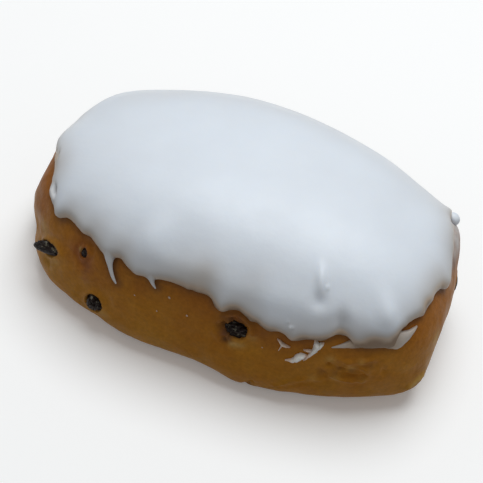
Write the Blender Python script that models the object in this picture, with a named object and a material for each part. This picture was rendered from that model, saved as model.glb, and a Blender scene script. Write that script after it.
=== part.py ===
"""Cream iced bun: an oval fruit bun with currants in its crust and a thick coat of white icing.

Units are metres and +Z is up. The bun rests on its flat base, and the middle of its box is over the
origin. +X is the blunt end, and -Y is the long side where the icing has torn.
A place on the crust is an angle round the bun and a level, which runs from 0 in the middle of the
base to 1 at the top.
"""

import math

import bmesh
import bpy
import numpy as np

MM = 0.001
TAU = 2 * math.pi

# The crust under its icing
LENGTH = 125 * MM
WIDTH = 71.5 * MM
HEIGHT = 44.2 * MM
WAIST_HEIGHT = 9 * MM
BASE_SHARE = 0.835
CROWN_POWER = 2.95
ROUND_END_POWER = 2.1
BLUNT_END_POWER = 3.25
TAPER = -0.075
CROWN_LEAN = (2.4 * MM, 2.4 * MM)
BASE_MIDDLE = (0.24 * MM, -1.48 * MM)
BASE_LEVEL = 0.30
WAIST_LEVEL = 0.42
FLAT_LEVEL = 0.20

# Uneven baking: angle in degrees, height, reach and push outwards in millimetres
LUMPS = (
    (287, 5, 14, 1.5),
    (333, 7, 8, 1.7),
    (345, 5, 9, -1.6),
    (317, 4, 10, -0.8),
    (268, 2, 9, -0.6),
    (242, 3, 8, -1.2),
    (201, 9, 5, -2.5),
    (212, 14, 8, -1.0),
    (190, 23, 8, -1.9),
    (200, 30, 9, 1.1),
    (172, 34, 10, -1.2),
    (152, 36, 12, 0.8),
    (90, 41, 22, 2.6),
    (43, 36, 12, -1.6),
    (15, 17, 14, -1.3),
    (18, 34, 7, 0.9),
    (281, 22, 4, -1.0),
)

# The coat of icing
ICING_THICKNESS = 2.3 * MM
ICING_GAP = 0.4 * MM
NOSE_REACH = 1.1 * MM
EDGE_MEAN_HEIGHT = 28 * MM
STRIP_GAP = 0.45 * MM

# The icing's lower edge: angle in degrees and height in millimetres
ICING_EDGE = (
    (0, 29.8), (8, 31.5), (19, 33.0), (30, 32.0), (42, 29.4), (52, 27.0), (62, 28.2), (72, 26.6),
    (84, 25.4), (95, 27.4), (106, 25.8), (118, 27.8), (130, 26.6), (140, 28.4), (150, 30.0),
    (162, 29.4), (174, 31.8), (184, 33.0), (193, 33.7), (201, 33.7), (206, 32.9), (211, 31.2),
    (214.5, 30.0), (220, 29.1), (225, 27.8), (227.5, 29.8), (231.5, 30.4), (238, 29.8), (243, 28.6),
    (245.5, 27.9), (248, 29.4), (250, 28.8), (253.5, 27.3), (258.5, 26.9), (262, 29.2), (265.5, 28.6),
    (270, 28.7), (274.5, 28.2), (276.5, 25.6), (278.2, 25.8), (280.5, 27.4), (284, 26.6), (288.5, 24.8),
    (291.2, 25.4), (294, 23.6), (299, 24.9), (303, 27.0), (306, 27.8), (309, 26.3), (314, 26.0),
    (319, 27.0), (322, 29.3), (326, 30.1), (330.4, 29.8), (333, 31.2), (338, 31.8), (344, 31.8),
    (350, 30.0), (355, 29.5),
)

# Icing that hangs below the edge: angle in degrees, then height, half width and thickness in millimetres
LONG_DRIP = (
    (245.3, 28.6, 1.6, 1.9), (246.3, 27.0, 1.0, 1.7), (247.5, 25.4, 0.75, 1.5), (248.8, 23.8, 0.65, 1.3),
    (250.2, 22.1, 0.3, 0.8),
)
SHORT_DRIP = ((256.4, 28.2, 1.6, 1.9), (258.2, 26.9, 0.9, 1.5), (260.2, 25.7, 0.3, 0.8))
TORN_FLAP = (
    (303.5, 23.8, 0.2, 0.6), (305.4, 24.6, 0.5, 0.8), (307.5, 25.1, 0.9, 1.1), (310.5, 25.8, 1.3, 1.4),
    (315, 25.9, 1.4, 1.4), (319.4, 25.8, 1.6, 1.5), (322, 26.6, 1.1, 1.4), (324.5, 27.6, 0.6, 1.1),
    (327.6, 28.6, 0.2, 0.6),
)
BACK_DRIP = (
    (101.5, 28.0, 1.9, 2.0), (102.4, 25.4, 1.2, 1.8), (103.0, 23.0, 1.1, 1.7), (103.2, 20.8, 0.6, 1.1),
)

# The drop of icing at the blunt end: angle in degrees, height, radius and lift in millimetres
END_DROP = (34, 32.0, 1.8, 3.0)

# Crumbs of icing on the crust, given like the drips and sunk into it
CRUMB_SINK = 0.5 * MM
STAR_ARMS = (
    ((291.9, 22.7, 0.3, 1.1), (293.0, 21.3, 0.6, 1.6), (294.1, 20.0, 0.3, 1.1)),
    ((294.4, 21.8, 0.3, 1.1), (293.0, 21.3, 0.5, 1.5), (292.4, 19.4, 0.3, 1.1)),
)
BLOB = ((294.3, 15.4, 0.3, 1.0), (295.6, 17.0, 0.8, 1.5), (296.9, 18.6, 1.3, 1.9), (298.0, 19.8, 0.4, 1.2))
SHARD = ((298.5, 17.7, 0.3, 1.0), (299.8, 20.2, 0.7, 1.5), (300.9, 22.6, 0.7, 1.5), (300.9, 24.0, 0.3, 1.0))

# Currants: angle and height of the place, length, width, turn, lift and how deep the middle is sunk
CURRANTS = (
    (225.2, 16.6, 9.2, 5.0, 24, -24, 0.4),
    (245.4, 11.0, 6.2, 5.2, 70, 0, 0.8),
    (281.4, 21.4, 7.4, 5.0, 8, 0, 1.6),
    (238.2, 25.4, 5.0, 3.4, 75, 0, 1.1),
    (28, 15.0, 7.6, 5.2, 35, 0, 1.0),
    (62, 20.0, 8.4, 5.0, -20, 0, 1.2),
    (94, 11.5, 7.0, 5.4, 60, 0, 0.8),
    (121, 20.5, 7.8, 4.8, 10, 0, 1.2),
    (148, 12.5, 8.2, 5.2, -40, 0, 1.0),
    (172, 13.0, 6.8, 4.8, 20, 0, 1.0),
)
CURRANT_CLEARANCE = 0.3 * MM
CURRANT_DEPTH_SHARE = 0.42
CURRANT_WRINKLE = 0.09

# Mesh density
PEBBLE_COLUMNS = 12
PEBBLE_RINGS = 7
COLUMNS = 110
CRUST_RINGS = 21
ICING_OUTER_RINGS = 9
ICING_INNER_RINGS = 10
NOSE_STEPS = 3
RAGGED_STRETCHES = (
    (226, 5, 1.0), (247, 5, 1.2), (261, 4, 0.8), (277, 5, 1.4), (292, 6, 1.0), (304, 5, 0.8),
    (324, 5, 1.2), (333, 4, 0.8),
)

# Colours are linear red, green and blue
CRUST_COLOUR = (0.22, 0.095, 0.022)
ICING_COLOUR = (0.80, 0.83, 0.88)
CURRANT_COLOUR = (0.016, 0.010, 0.008)


def smooth_through(knots, places):
    """Values at these places on a smooth curve through the rows of knots, which start with the place."""
    knots = np.asarray(knots, float)
    place, value = knots[:, 0], knots[:, 1:]
    slope = np.gradient(value, place, axis=0)
    right = np.clip(np.searchsorted(place, places, side="right"), 1, len(place) - 1)
    left = right - 1
    span = (place[right] - place[left])[:, None]
    part = (np.asarray(places) - place[left])[:, None] / span
    rise = part * part * (3 - 2 * part)
    start = part * (1 - part) ** 2 * span
    end = part * part * (part - 1) * span
    return value[left] * (1 - rise) + value[right] * rise + slope[left] * start + slope[right] * end


def outline(angle):
    """The widest outline: a squared-off oval, rounder at the -X end."""
    across, along = np.sin(angle), np.cos(angle)
    blunt = 0.5 + 0.5 * along
    power = ROUND_END_POWER + (BLUNT_END_POWER - ROUND_END_POWER) * blunt
    size = (np.abs(along) + 1e-9) ** power + (np.abs(across) + 1e-9) ** power
    reach = size ** (-1 / power)
    narrowing = 1 + TAPER * reach * along
    return 0.5 * LENGTH * reach * along, 0.5 * WIDTH * reach * across * narrowing


def profile(level):
    """The share of the outline and the height at a level."""
    rim = np.clip((level - BASE_LEVEL) / (WAIST_LEVEL - BASE_LEVEL), 0, 1) * math.pi / 2
    crown = np.clip((level - WAIST_LEVEL) / (1 - WAIST_LEVEL), 0, 1) * math.pi / 2
    base_share = BASE_SHARE * level / BASE_LEVEL
    rim_share = BASE_SHARE + (1 - BASE_SHARE) * np.sin(rim)
    crown_share = np.maximum(np.cos(crown), 0) ** (2 / CROWN_POWER)
    share = np.where(level < BASE_LEVEL, base_share, np.where(level < WAIST_LEVEL, rim_share, crown_share))
    rim_height = WAIST_HEIGHT * (1 - np.cos(rim))
    crown_height = WAIST_HEIGHT + (HEIGHT - WAIST_HEIGHT) * np.sin(crown) ** (2 / CROWN_POWER)
    return share, np.where(level < WAIST_LEVEL, rim_height, crown_height)


def level_at(height):
    """The level on the side of the bun at a height."""
    height = np.asarray(height, float)
    below = np.arccos(np.clip(1 - height / WAIST_HEIGHT, -1, 1)) / (math.pi / 2)
    part = np.clip((height - WAIST_HEIGHT) / (HEIGHT - WAIST_HEIGHT), 0, 1)
    above = np.arcsin(part ** (CROWN_POWER / 2)) / (math.pi / 2)
    low = BASE_LEVEL + (WAIST_LEVEL - BASE_LEVEL) * below
    high = WAIST_LEVEL + (1 - WAIST_LEVEL) * above
    return np.where(height < WAIST_HEIGHT, low, high)


def even_skin(angle, level):
    """The crust before its lumps."""
    x, y = outline(angle)
    share, height = profile(level)
    lean = np.clip((height - WAIST_HEIGHT) / (HEIGHT - WAIST_HEIGHT), 0, 1)
    x = x * share + CROWN_LEAN[0] * lean + BASE_MIDDLE[0]
    y = y * share + CROWN_LEAN[1] * lean + BASE_MIDDLE[1]
    return np.stack([x, y, height + 0 * x], axis=-1)


def skin_normal(angle, level, step=1e-4):
    """The outward direction on the even skin."""
    level = np.clip(level, step, 1 - 2 * step)
    here = even_skin(angle, level)
    round_bun = even_skin(angle + step, level) - here
    upwards = even_skin(angle, level + step) - here
    normal = np.cross(round_bun, upwards)
    return normal / np.linalg.norm(normal, axis=-1, keepdims=True)


def skin(angle, level, lift=0.0):
    """A point on the lumpy crust, or lifted off it along the normal."""
    point = even_skin(angle, level)
    push = np.zeros(point.shape[:-1])
    for lump_angle, height, reach, amount in LUMPS:
        middle = even_skin(math.radians(lump_angle), level_at(height * MM))
        distance = np.linalg.norm(point - middle, axis=-1)
        push += amount * MM * np.exp(-((distance / (reach * MM)) ** 2))
    push *= np.clip((level - FLAT_LEVEL) / (BASE_LEVEL - FLAT_LEVEL), 0, 1)
    lumpy = point + skin_normal(angle, level) * (push + lift)[..., None]
    lumpy[..., 2] = np.maximum(lumpy[..., 2], 0)
    return lumpy


def spread(places, weights, count, closed=False):
    """This many places out of a fine row of them, closer together where the weight is high."""
    total = np.concatenate([[0], np.cumsum(0.5 * (weights[1:] + weights[:-1]) * np.diff(places))])
    wanted = np.linspace(0, total[-1], count, endpoint=not closed)
    return np.interp(wanted, total, places)


def column_angles():
    """Angles of the columns, even along the outline and closer where the icing is ragged."""
    angles = np.linspace(0, TAU, 2881)
    points = np.stack(outline(angles), axis=-1)
    weights = np.linalg.norm(np.gradient(points, angles, axis=0), axis=-1)
    weights = weights / weights.mean()
    for middle, reach, extra in RAGGED_STRETCHES:
        weights = weights + extra * np.exp(-(((np.degrees(angles) - middle) / reach) ** 2))
    return spread(angles, weights, COLUMNS, closed=True)


def ring_levels(first, last, count):
    """Levels of the rings between two levels, closer together where the side view bends most."""
    levels = np.linspace(first, last, 400)
    points = even_skin(np.full(400, 1.5 * math.pi), levels)
    steps = np.gradient(points, levels, axis=0)
    speed = np.linalg.norm(steps, axis=-1)
    heading = np.unwrap(np.arctan2(steps[:, 2], -steps[:, 1]))
    bend = np.abs(np.gradient(heading, levels))
    weights = speed / speed.mean() + 0.5 * bend / bend.mean()
    return spread(levels, weights, count)


def icing_edge_height(angle):
    """The height of the icing's lower edge at each angle."""
    knots = [(place - 360, height) for place, height in ICING_EDGE]
    knots += list(ICING_EDGE)
    knots += [(place + 360, height) for place, height in ICING_EDGE]
    return smooth_through(knots, np.degrees(angle))[:, 0] * MM


def level_past(angle, level, distance):
    """The level this far above another one, measured up the side of the bun."""
    parts = np.linspace(0, 1, 200)
    levels = level[:, None] + (1 - level[:, None]) * parts
    points = even_skin(angle[:, None], levels)
    steps = np.linalg.norm(np.diff(points, axis=1), axis=-1)
    lengths = np.concatenate([np.zeros((len(angle), 1)), np.cumsum(steps, axis=1)], axis=1)
    return np.array([np.interp(distance, row, places) for row, places in zip(lengths, levels)])


def principled(name, colour, roughness, coat=0.0):
    """A plain material."""
    material = bpy.data.materials.new(name)
    material.use_nodes = True
    shader = material.node_tree.nodes["Principled BSDF"]
    shader.inputs["Base Color"].default_value = (*colour, 1)
    shader.inputs["Roughness"].default_value = roughness
    shader.inputs["Coat Weight"].default_value = coat
    return material


def mesh_object(name, points, faces):
    """An object in the scene with outward faces, shaded smooth."""
    mesh = bpy.data.meshes.new(name)
    mesh.from_pydata(np.asarray(points, float).tolist(), [], faces)
    work = bmesh.new()
    work.from_mesh(mesh)
    bmesh.ops.recalc_face_normals(work, faces=work.faces)
    work.to_mesh(mesh)
    work.free()
    mesh.shade_smooth()
    made = bpy.data.objects.new(name, mesh)
    bpy.context.scene.collection.objects.link(made)
    return made


def ring_faces(rings, columns):
    """Quads between the rings, whose points follow on from each other."""
    faces = []
    for ring in range(rings - 1):
        for column in range(columns):
            beside = (column + 1) % columns
            low, high = ring * columns, (ring + 1) * columns
            faces.append((low + column, low + beside, high + beside, high + column))
    return faces


def lofted(name, rings, first_point, last_point):
    """A closed body through rings of points, shut at both ends by a fan to one point."""
    count, columns = rings.shape[:2]
    points = np.concatenate([rings.reshape(-1, 3), [first_point, last_point]])
    faces = ring_faces(count, columns)
    first, last, top = count * columns, count * columns + 1, (count - 1) * columns
    for column in range(columns):
        beside = (column + 1) % columns
        faces.append((first, beside, column))
        faces.append((last, top + column, top + beside))
    return mesh_object(name, points, faces)


def capped(name, rings):
    """A closed body through rings of points, with a flat face at both ends."""
    count, columns = rings.shape[:2]
    faces = ring_faces(count, columns)
    faces.append(tuple(range(columns))[::-1])
    faces.append(tuple(range((count - 1) * columns, count * columns)))
    return mesh_object(name, rings.reshape(-1, 3), faces)


def combine(target, others, operation):
    """Joins the others to the target, or cuts them from it, as one Boolean that is applied."""
    helpers = bpy.data.collections.new("helpers")
    bpy.context.scene.collection.children.link(helpers)
    for other in others:
        helpers.objects.link(other)
    boolean = target.modifiers.new("combine", "BOOLEAN")
    boolean.operand_type = "COLLECTION"
    boolean.collection = helpers
    boolean.operation = operation
    bpy.context.view_layer.update()
    graph = bpy.context.evaluated_depsgraph_get()
    mesh = bpy.data.meshes.new_from_object(target.evaluated_get(graph))
    target.modifiers.clear()
    target.data = mesh
    for other in others:
        bpy.data.objects.remove(other)
    bpy.data.collections.remove(helpers)


def hanging_strip(name, stations, lift, steps=7, sides=6):
    """A strip lying on the crust with a domed back, through stations given like the drips."""
    stations = np.asarray(stations, float)
    order = np.linspace(0, len(stations) - 1, steps)
    rows = np.column_stack([np.arange(len(stations)), stations])
    degrees, height, half_width, thickness = smooth_through(rows, order).T
    angle, level = np.radians(degrees), level_at(height * MM)
    middle = skin(angle, level, lift)
    normal = skin_normal(angle, level)
    ahead = np.gradient(middle, axis=0)
    side = np.cross(normal, ahead)
    side /= np.linalg.norm(side, axis=-1, keepdims=True)
    rings = []
    for turn in np.linspace(0, math.pi, sides):
        across = side * (half_width * MM * math.cos(turn))[:, None]
        out = normal * (thickness * MM * math.sin(turn))[:, None]
        rings.append(middle + across + out)
    return capped(name, np.stack(rings, axis=1))


def wrinkled_pebble(name, middle, axes, radii, phase, wrinkle=0.0):
    """A closed egg shape about three axes, with ridges that run along the first."""
    turns = np.linspace(0, TAU, PEBBLE_COLUMNS, endpoint=False)
    rings = []
    for slope in np.linspace(0, math.pi, PEBBLE_RINGS + 2)[1:-1]:
        ridge = 1 + wrinkle * np.cos(4 * turns + phase) + 0.6 * wrinkle * np.cos(3 * slope + turns + phase)
        long_way = np.full(PEBBLE_COLUMNS, math.cos(slope))
        wide_way = math.sin(slope) * np.cos(turns) * ridge
        short_way = math.sin(slope) * np.sin(turns) * ridge
        local = np.stack([long_way, wide_way, short_way], axis=-1) * radii
        rings.append(middle + local @ axes)
    ends = axes[0] * radii[0]
    return lofted(name, np.array(rings), middle + ends, middle - ends)


def currant_frame(degrees, height, turn, lift):
    """Where a currant sits, with its long, wide and short axes."""
    angle, level = np.array(math.radians(degrees)), level_at(height * MM)
    place, normal = skin(angle, level), skin_normal(angle, level)
    upwards = np.array([0, 0, 1]) - normal * normal[2]
    upwards /= np.linalg.norm(upwards)
    round_bun = np.cross(upwards, normal)
    turn, lift = math.radians(turn), math.radians(lift)
    flat = math.cos(turn) * round_bun + math.sin(turn) * upwards
    along = math.cos(lift) * flat + math.sin(lift) * normal
    short = math.cos(lift) * normal - math.sin(lift) * flat
    return place, normal, np.array([along, np.cross(short, along), short])


def make_currant(name, values, phase, extra=0.0):
    """One currant, or its pocket when it is made larger all round."""
    degrees, height, length, width, turn, lift, sunk = values
    place, normal, axes = currant_frame(degrees, height, turn, lift)
    radii = np.array([length / 2, width / 2, CURRANT_DEPTH_SHARE * width]) * MM + extra
    return wrinkled_pebble(name, place - normal * sunk * MM, axes, radii, phase, CURRANT_WRINKLE)


def make_crust():
    """The bun's body, with the crumbs of icing that cling to it and a pocket for each currant."""
    angles = column_angles()
    levels = ring_levels(0, 1, CRUST_RINGS + 2)
    rings = np.array([skin(angles, np.full(COLUMNS, level)) for level in levels[1:-1]])
    top = skin(np.zeros(1), np.ones(1))[0]
    bottom = skin(np.zeros(1), np.zeros(1))[0]
    crust = lofted("bun", rings, bottom, top)
    crumbs = [hanging_strip("star_arm", arm, -CRUMB_SINK, steps=3, sides=5) for arm in STAR_ARMS]
    crumbs.append(hanging_strip("blob", BLOB, -CRUMB_SINK, steps=5, sides=5))
    crumbs.append(hanging_strip("shard", SHARD, -CRUMB_SINK, steps=5, sides=5))
    combine(crust, crumbs, "UNION")
    pockets = []
    for number, values in enumerate(CURRANTS):
        pockets.append(make_currant("pocket", values, number, CURRANT_CLEARANCE))
    combine(crust, pockets, "DIFFERENCE")
    return crust


def shares_above_edge(count):
    """How far up from the icing's edge to the top each ring of the coat lies, starting at the edge."""
    levels = ring_levels(level_at(EDGE_MEAN_HEIGHT), 1, count + 1)[:-1]
    return (levels - levels[0]) / (1 - levels[0])


def icing_rings(angles):
    """Rings of the icing's coat: down its inner face, round its rolled edge and up its outer face."""
    edge = level_at(icing_edge_height(angles))
    foot = level_past(angles, edge, NOSE_REACH)
    rings = []
    for share in shares_above_edge(ICING_INNER_RINGS)[::-1]:
        rings.append(skin(angles, foot + (1 - foot) * share, ICING_GAP))
    for step in range(1, NOSE_STEPS):
        turn = math.pi * step / NOSE_STEPS
        level = level_past(angles, edge, NOSE_REACH * (1 - math.sin(turn)))
        rings.append(skin(angles, level, ICING_GAP + 0.5 * ICING_THICKNESS * (1 - math.cos(turn))))
    for share in shares_above_edge(ICING_OUTER_RINGS):
        rings.append(skin(angles, foot + (1 - foot) * share, ICING_GAP + ICING_THICKNESS))
    return np.array(rings)


def make_icing():
    """The coat of icing with its drips, its torn flap and the drop at the blunt end."""
    top = skin(np.zeros(1), np.ones(1))[0]
    inner_top = top + np.array([0, 0, ICING_GAP])
    outer_top = inner_top + np.array([0, 0, ICING_THICKNESS])
    icing = lofted("icing", icing_rings(column_angles()), inner_top, outer_top)
    extras = [hanging_strip("drip", drip, STRIP_GAP) for drip in (LONG_DRIP, SHORT_DRIP, BACK_DRIP)]
    extras.append(hanging_strip("flap", TORN_FLAP, STRIP_GAP, steps=13))
    degrees, height, radius, out = END_DROP
    place, normal, axes = currant_frame(degrees, height, 0, 0)
    middle = place + normal * out * MM
    extras.append(wrinkled_pebble("drop", middle, axes, np.full(3, radius * MM), 0))
    combine(icing, extras, "UNION")
    return icing


def main():
    for old in list(bpy.data.objects):
        bpy.data.objects.remove(old)
    make_crust().data.materials.append(principled("baked crust", CRUST_COLOUR, 0.45))
    make_icing().data.materials.append(principled("white icing", ICING_COLOUR, 0.25, coat=0.3))
    dark = principled("currant", CURRANT_COLOUR, 0.35)
    for number, values in enumerate(CURRANTS):
        currant = make_currant(f"currant_{number + 1:02d}", values, number)
        currant.data.materials.append(dark)


main()
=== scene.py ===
"""The looks of the cream iced bun: its baked crust, the coat of icing, the currants and the crumbs of icing.

Units are metres and +Z is up. +X is the blunt end, and -Y is the long side where the icing has torn.
A place on the crust is an angle round the bun and a level, which runs from 0 in the middle of the
base to 1 at the top. In the tables it is an angle in degrees and a height in millimetres. The bun's
shape is that of the solid model, with some small lumps and a finer icing edge added.
"""

import math

import bpy
import numpy as np
from mathutils import Matrix, Vector, geometry, noise


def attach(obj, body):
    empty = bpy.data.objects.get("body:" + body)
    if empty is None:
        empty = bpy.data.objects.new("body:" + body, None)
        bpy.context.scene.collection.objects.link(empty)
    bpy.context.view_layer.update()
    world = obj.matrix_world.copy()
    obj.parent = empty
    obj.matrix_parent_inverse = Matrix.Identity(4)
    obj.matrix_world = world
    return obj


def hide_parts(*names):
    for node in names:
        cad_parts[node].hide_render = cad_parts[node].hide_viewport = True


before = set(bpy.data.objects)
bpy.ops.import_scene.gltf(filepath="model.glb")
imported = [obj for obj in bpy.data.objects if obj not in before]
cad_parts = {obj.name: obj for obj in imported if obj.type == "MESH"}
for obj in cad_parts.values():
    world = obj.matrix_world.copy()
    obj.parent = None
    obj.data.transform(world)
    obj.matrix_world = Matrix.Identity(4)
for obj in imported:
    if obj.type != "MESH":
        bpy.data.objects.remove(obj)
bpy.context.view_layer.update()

MM = 0.001
TAU = 2 * math.pi

# The crust under its icing
LENGTH = 125 * MM
WIDTH = 71.5 * MM
HEIGHT = 44.2 * MM
WAIST_HEIGHT = 9 * MM
BASE_SHARE = 0.835
CROWN_POWER = 2.95
ROUND_END_POWER = 2.1
BLUNT_END_POWER = 3.25
TAPER = -0.075
CROWN_LEAN = (2.4 * MM, 2.4 * MM)
BASE_MIDDLE = (0.24 * MM, -1.48 * MM)
BASE_LEVEL = 0.30
WAIST_LEVEL = 0.42
FLAT_LEVEL = 0.20

# Uneven baking: angle in degrees, height, reach and push outwards in millimetres
LUMPS = (
    (287, 5, 14, 1.4), (333, 7, 8, 1.7), (345, 5, 9, -1.6), (317, 4, 10, -0.8), (268, 2, 9, -0.6),
    (242, 3, 8, -1.2), (201, 9, 5, -2.5), (212, 14, 8, -1.0), (190, 23, 8, -1.9), (200, 30, 9, 1.1),
    (172, 34, 10, -1.2), (152, 36, 12, 0.8), (90, 41, 22, 2.4), (43, 36, 12, -1.2), (15, 17, 14, -1.3),
    (18, 34, 7, 0.9), (281, 22, 4, -1.0), (30.4, 30.9, 7.7, 1.1), (34.0, 29.9, 3.8, 1.15),
    (18.9, 25.0, 5.4, -0.55), (232, 3, 7, -0.5), (239, 4, 6, 0.4), (275, 3, 7, -0.5), (285, 2, 3.5, 0.5),
    (298, 3, 8, -0.4), (350, 17, 14, -0.35), (190.5, 24, 7, -0.5), (197, 20, 5, 0.4),
    (211.5, 15, 4, -0.5), (188, 33, 8, 0.35), (156, 35, 8, 0.7),
)

# The coat of icing
ICING_THICKNESS = 2.3 * MM
ICING_GAP = 0.4 * MM

# The icing's lower edge: angle in degrees and height in millimetres
ICING_EDGE = (
    (0, 30.5), (8, 32.4), (19, 33.9), (30, 33.9), (36, 32.4), (43, 29.8), (52, 27.0), (62, 28.2),
    (72, 26.6), (84, 25.4), (95, 27.4), (106, 25.8), (118, 27.8), (130, 26.6), (140, 28.4), (150, 30.0),
    (162, 29.4), (174, 31.2), (184, 32.0), (193, 32.4), (201, 32.7), (206, 32.3), (211, 31.2),
    (214.5, 29.75), (220, 28.9), (225, 28.2), (227.5, 29.9), (231.5, 30.1), (235, 29.8), (238, 30.1),
    (243, 28.8), (245.5, 28.5), (248, 29.5), (250, 28.9), (253.5, 27.7), (256.5, 28.0), (259.0, 28.4),
    (262, 29.3), (265.5, 28.9), (270, 29.1), (274.0, 28.5), (276.0, 26.5), (277.6, 26.2), (279.2, 27.4),
    (281.4, 27.7), (283.4, 26.9), (284.7, 26.2), (285.9, 26.3), (287.2, 25.6), (288.9, 25.0),
    (291.2, 25.5), (292.6, 25.3), (294.2, 24.2), (296.4, 24.9), (299, 25.6), (301.4, 26.0), (303, 27.2),
    (306, 28.1), (307.2, 27.6), (308.6, 25.7), (309.8, 25.35), (312, 25.25), (316, 25.3), (318.0, 25.3),
    (319.2, 25.6), (320.6, 28.6), (321.6, 29.6), (322.8, 30.1), (326, 30.8), (330.4, 30.9), (333, 31.4),
    (338, 31.8), (344, 32.2), (347, 31.9), (350, 31.0), (355, 30.1),
)

# Icing that hangs below the edge: angle in degrees, then height, half width and thickness in millimetres
LONG_DRIP = (
    (245.5, 28.6, 1.4, 1.9), (246.5, 27.0, 0.85, 1.6), (247.6, 25.4, 0.60, 1.4), (248.8, 23.8, 0.5, 1.2),
    (250.1, 22.4, 0.25, 0.7),
)
SHORT_DRIP = ((257.5, 28.8, 1.0, 1.8), (258.5, 27.2, 0.55, 1.4), (259.8, 25.8, 0.22, 0.7))
BACK_DRIP = (
    (101.5, 28.0, 1.9, 2.0), (102.4, 25.4, 1.2, 1.8), (103.0, 23.0, 1.1, 1.7), (103.2, 20.8, 0.6, 1.1),
)

# The drop of icing at the blunt end: angle in degrees, height, radius and lift in millimetres
END_DROP = (34.0, 32.0, 1.9, 0.6)
DROP_COLUMNS = 40
DROP_RINGS = 26
DROP_BUMPS = ((1.6, 0.18, 31),)

# Crumbs of icing on the crust, given like the drips
STAR_ARMS = (
    ((291.3, 22.9, 0.10, 0.3), (291.9, 22.4, 0.28, 0.7), (292.6, 21.85, 0.40, 1.1),
     (293.5, 21.55, 0.30, 0.8), (294.45, 21.3, 0.12, 0.3)),
    ((292.5, 22.2, 0.20, 0.5), (292.55, 21.4, 0.30, 0.7), (292.35, 20.4, 0.17, 0.5),
     (292.1, 19.4, 0.08, 0.2)),
)
BLOB = (
    (294.0, 16.9, 0.12, 0.3), (294.9, 17.2, 0.34, 0.7), (295.8, 17.8, 0.55, 1.2), (296.8, 19.3, 0.9, 2.1),
    (297.8, 19.8, 0.55, 1.3), (298.5, 19.9, 0.25, 0.5),
)
SHARD = (
    (297.9, 18.0, 0.15, 0.3), (298.5, 19.4, 0.3, 0.8), (299.3, 21.2, 0.5, 1.2), (300.1, 23.2, 0.9, 1.6),
    (300.1, 24.2, 0.75, 1.4), (299.7, 25.1, 0.36, 0.9), (299.35, 26.5, 0.1, 0.3),
)
SHARD_BRANCHES = (
    ((297.4, 21.5, 0.12, 0.3), (298.3, 21.7, 0.32, 0.8), (299.4, 21.9, 0.4, 1.0), (300.3, 22.2, 0.4, 1.0)),
    ((301.6, 25.0, 0.2, 0.5), (301.2, 24.3, 0.6, 1.2), (300.8, 23.4, 0.5, 1.2), (300.5, 22.5, 0.3, 0.8)),
)

# Currants: angle and height of the place, length, width, turn, lift and how deep the middle is sunk
CURRANTS = (
    (225.4, 17.1, 12.4, 3.6, 27, -14, 0.3), (244.9, 11.0, 6.0, 4.9, 70, 0, 0.7),
    (281.8, 20.8, 7.4, 5.6, 6, 0, 1.6), (238.2, 25.2, 3.6, 2.2, 75, 0, 0.8),
    (28, 15.0, 7.6, 5.2, 35, 0, 1.0), (62, 20.0, 8.4, 5.0, -20, 0, 1.2), (94, 11.5, 7.0, 5.4, 60, 0, 0.8),
    (121, 20.5, 7.8, 4.8, 10, 0, 1.2), (148, 12.5, 8.2, 5.2, -40, 0, 1.0),
    (172, 13.0, 6.8, 4.8, 20, 0, 1.0),
)
CURRANT_CLEARANCE = 0.3 * MM
CURRANT_DEPTH_SHARE = 0.42
CURRANT_WRINKLE = 0.09
CREASE_DEPTH = 0.30
CREASE_WIDTH = 0.28
CURRANT_SWELL = 0.03

# The camera, which looks down at the front and the blunt end
IMAGE_SIZE = 483
FOCAL_PIXELS = 1175
SENSOR = 36
CAMERA_DISTANCE = 0.320
CAMERA_TARGET = (0.00363, -0.00862, 0.02514)
CAMERA_DEPRESSION = 46
CAMERA_YAW = -17
CAMERA_ROLL = 8

# The crust's fine mesh: columns, and the distance between rings where it shows
CRUST_COLUMNS = 660
CRUST_RING_STEP = 0.5 * MM
CRUST_SHOWS_TO = 35 * MM
CRUST_HIDDEN_RINGS = 14
CRUST_BASE_RINGS = 14
FINE_STRETCH = (262, 48, 0.9)

# Relief of the crust: size of the bumps and push, in millimetres
CRUST_BUMPS = ((15, 0.40, 1), (5, 0.16, 2), (1.6, 0.05, 3))

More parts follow.
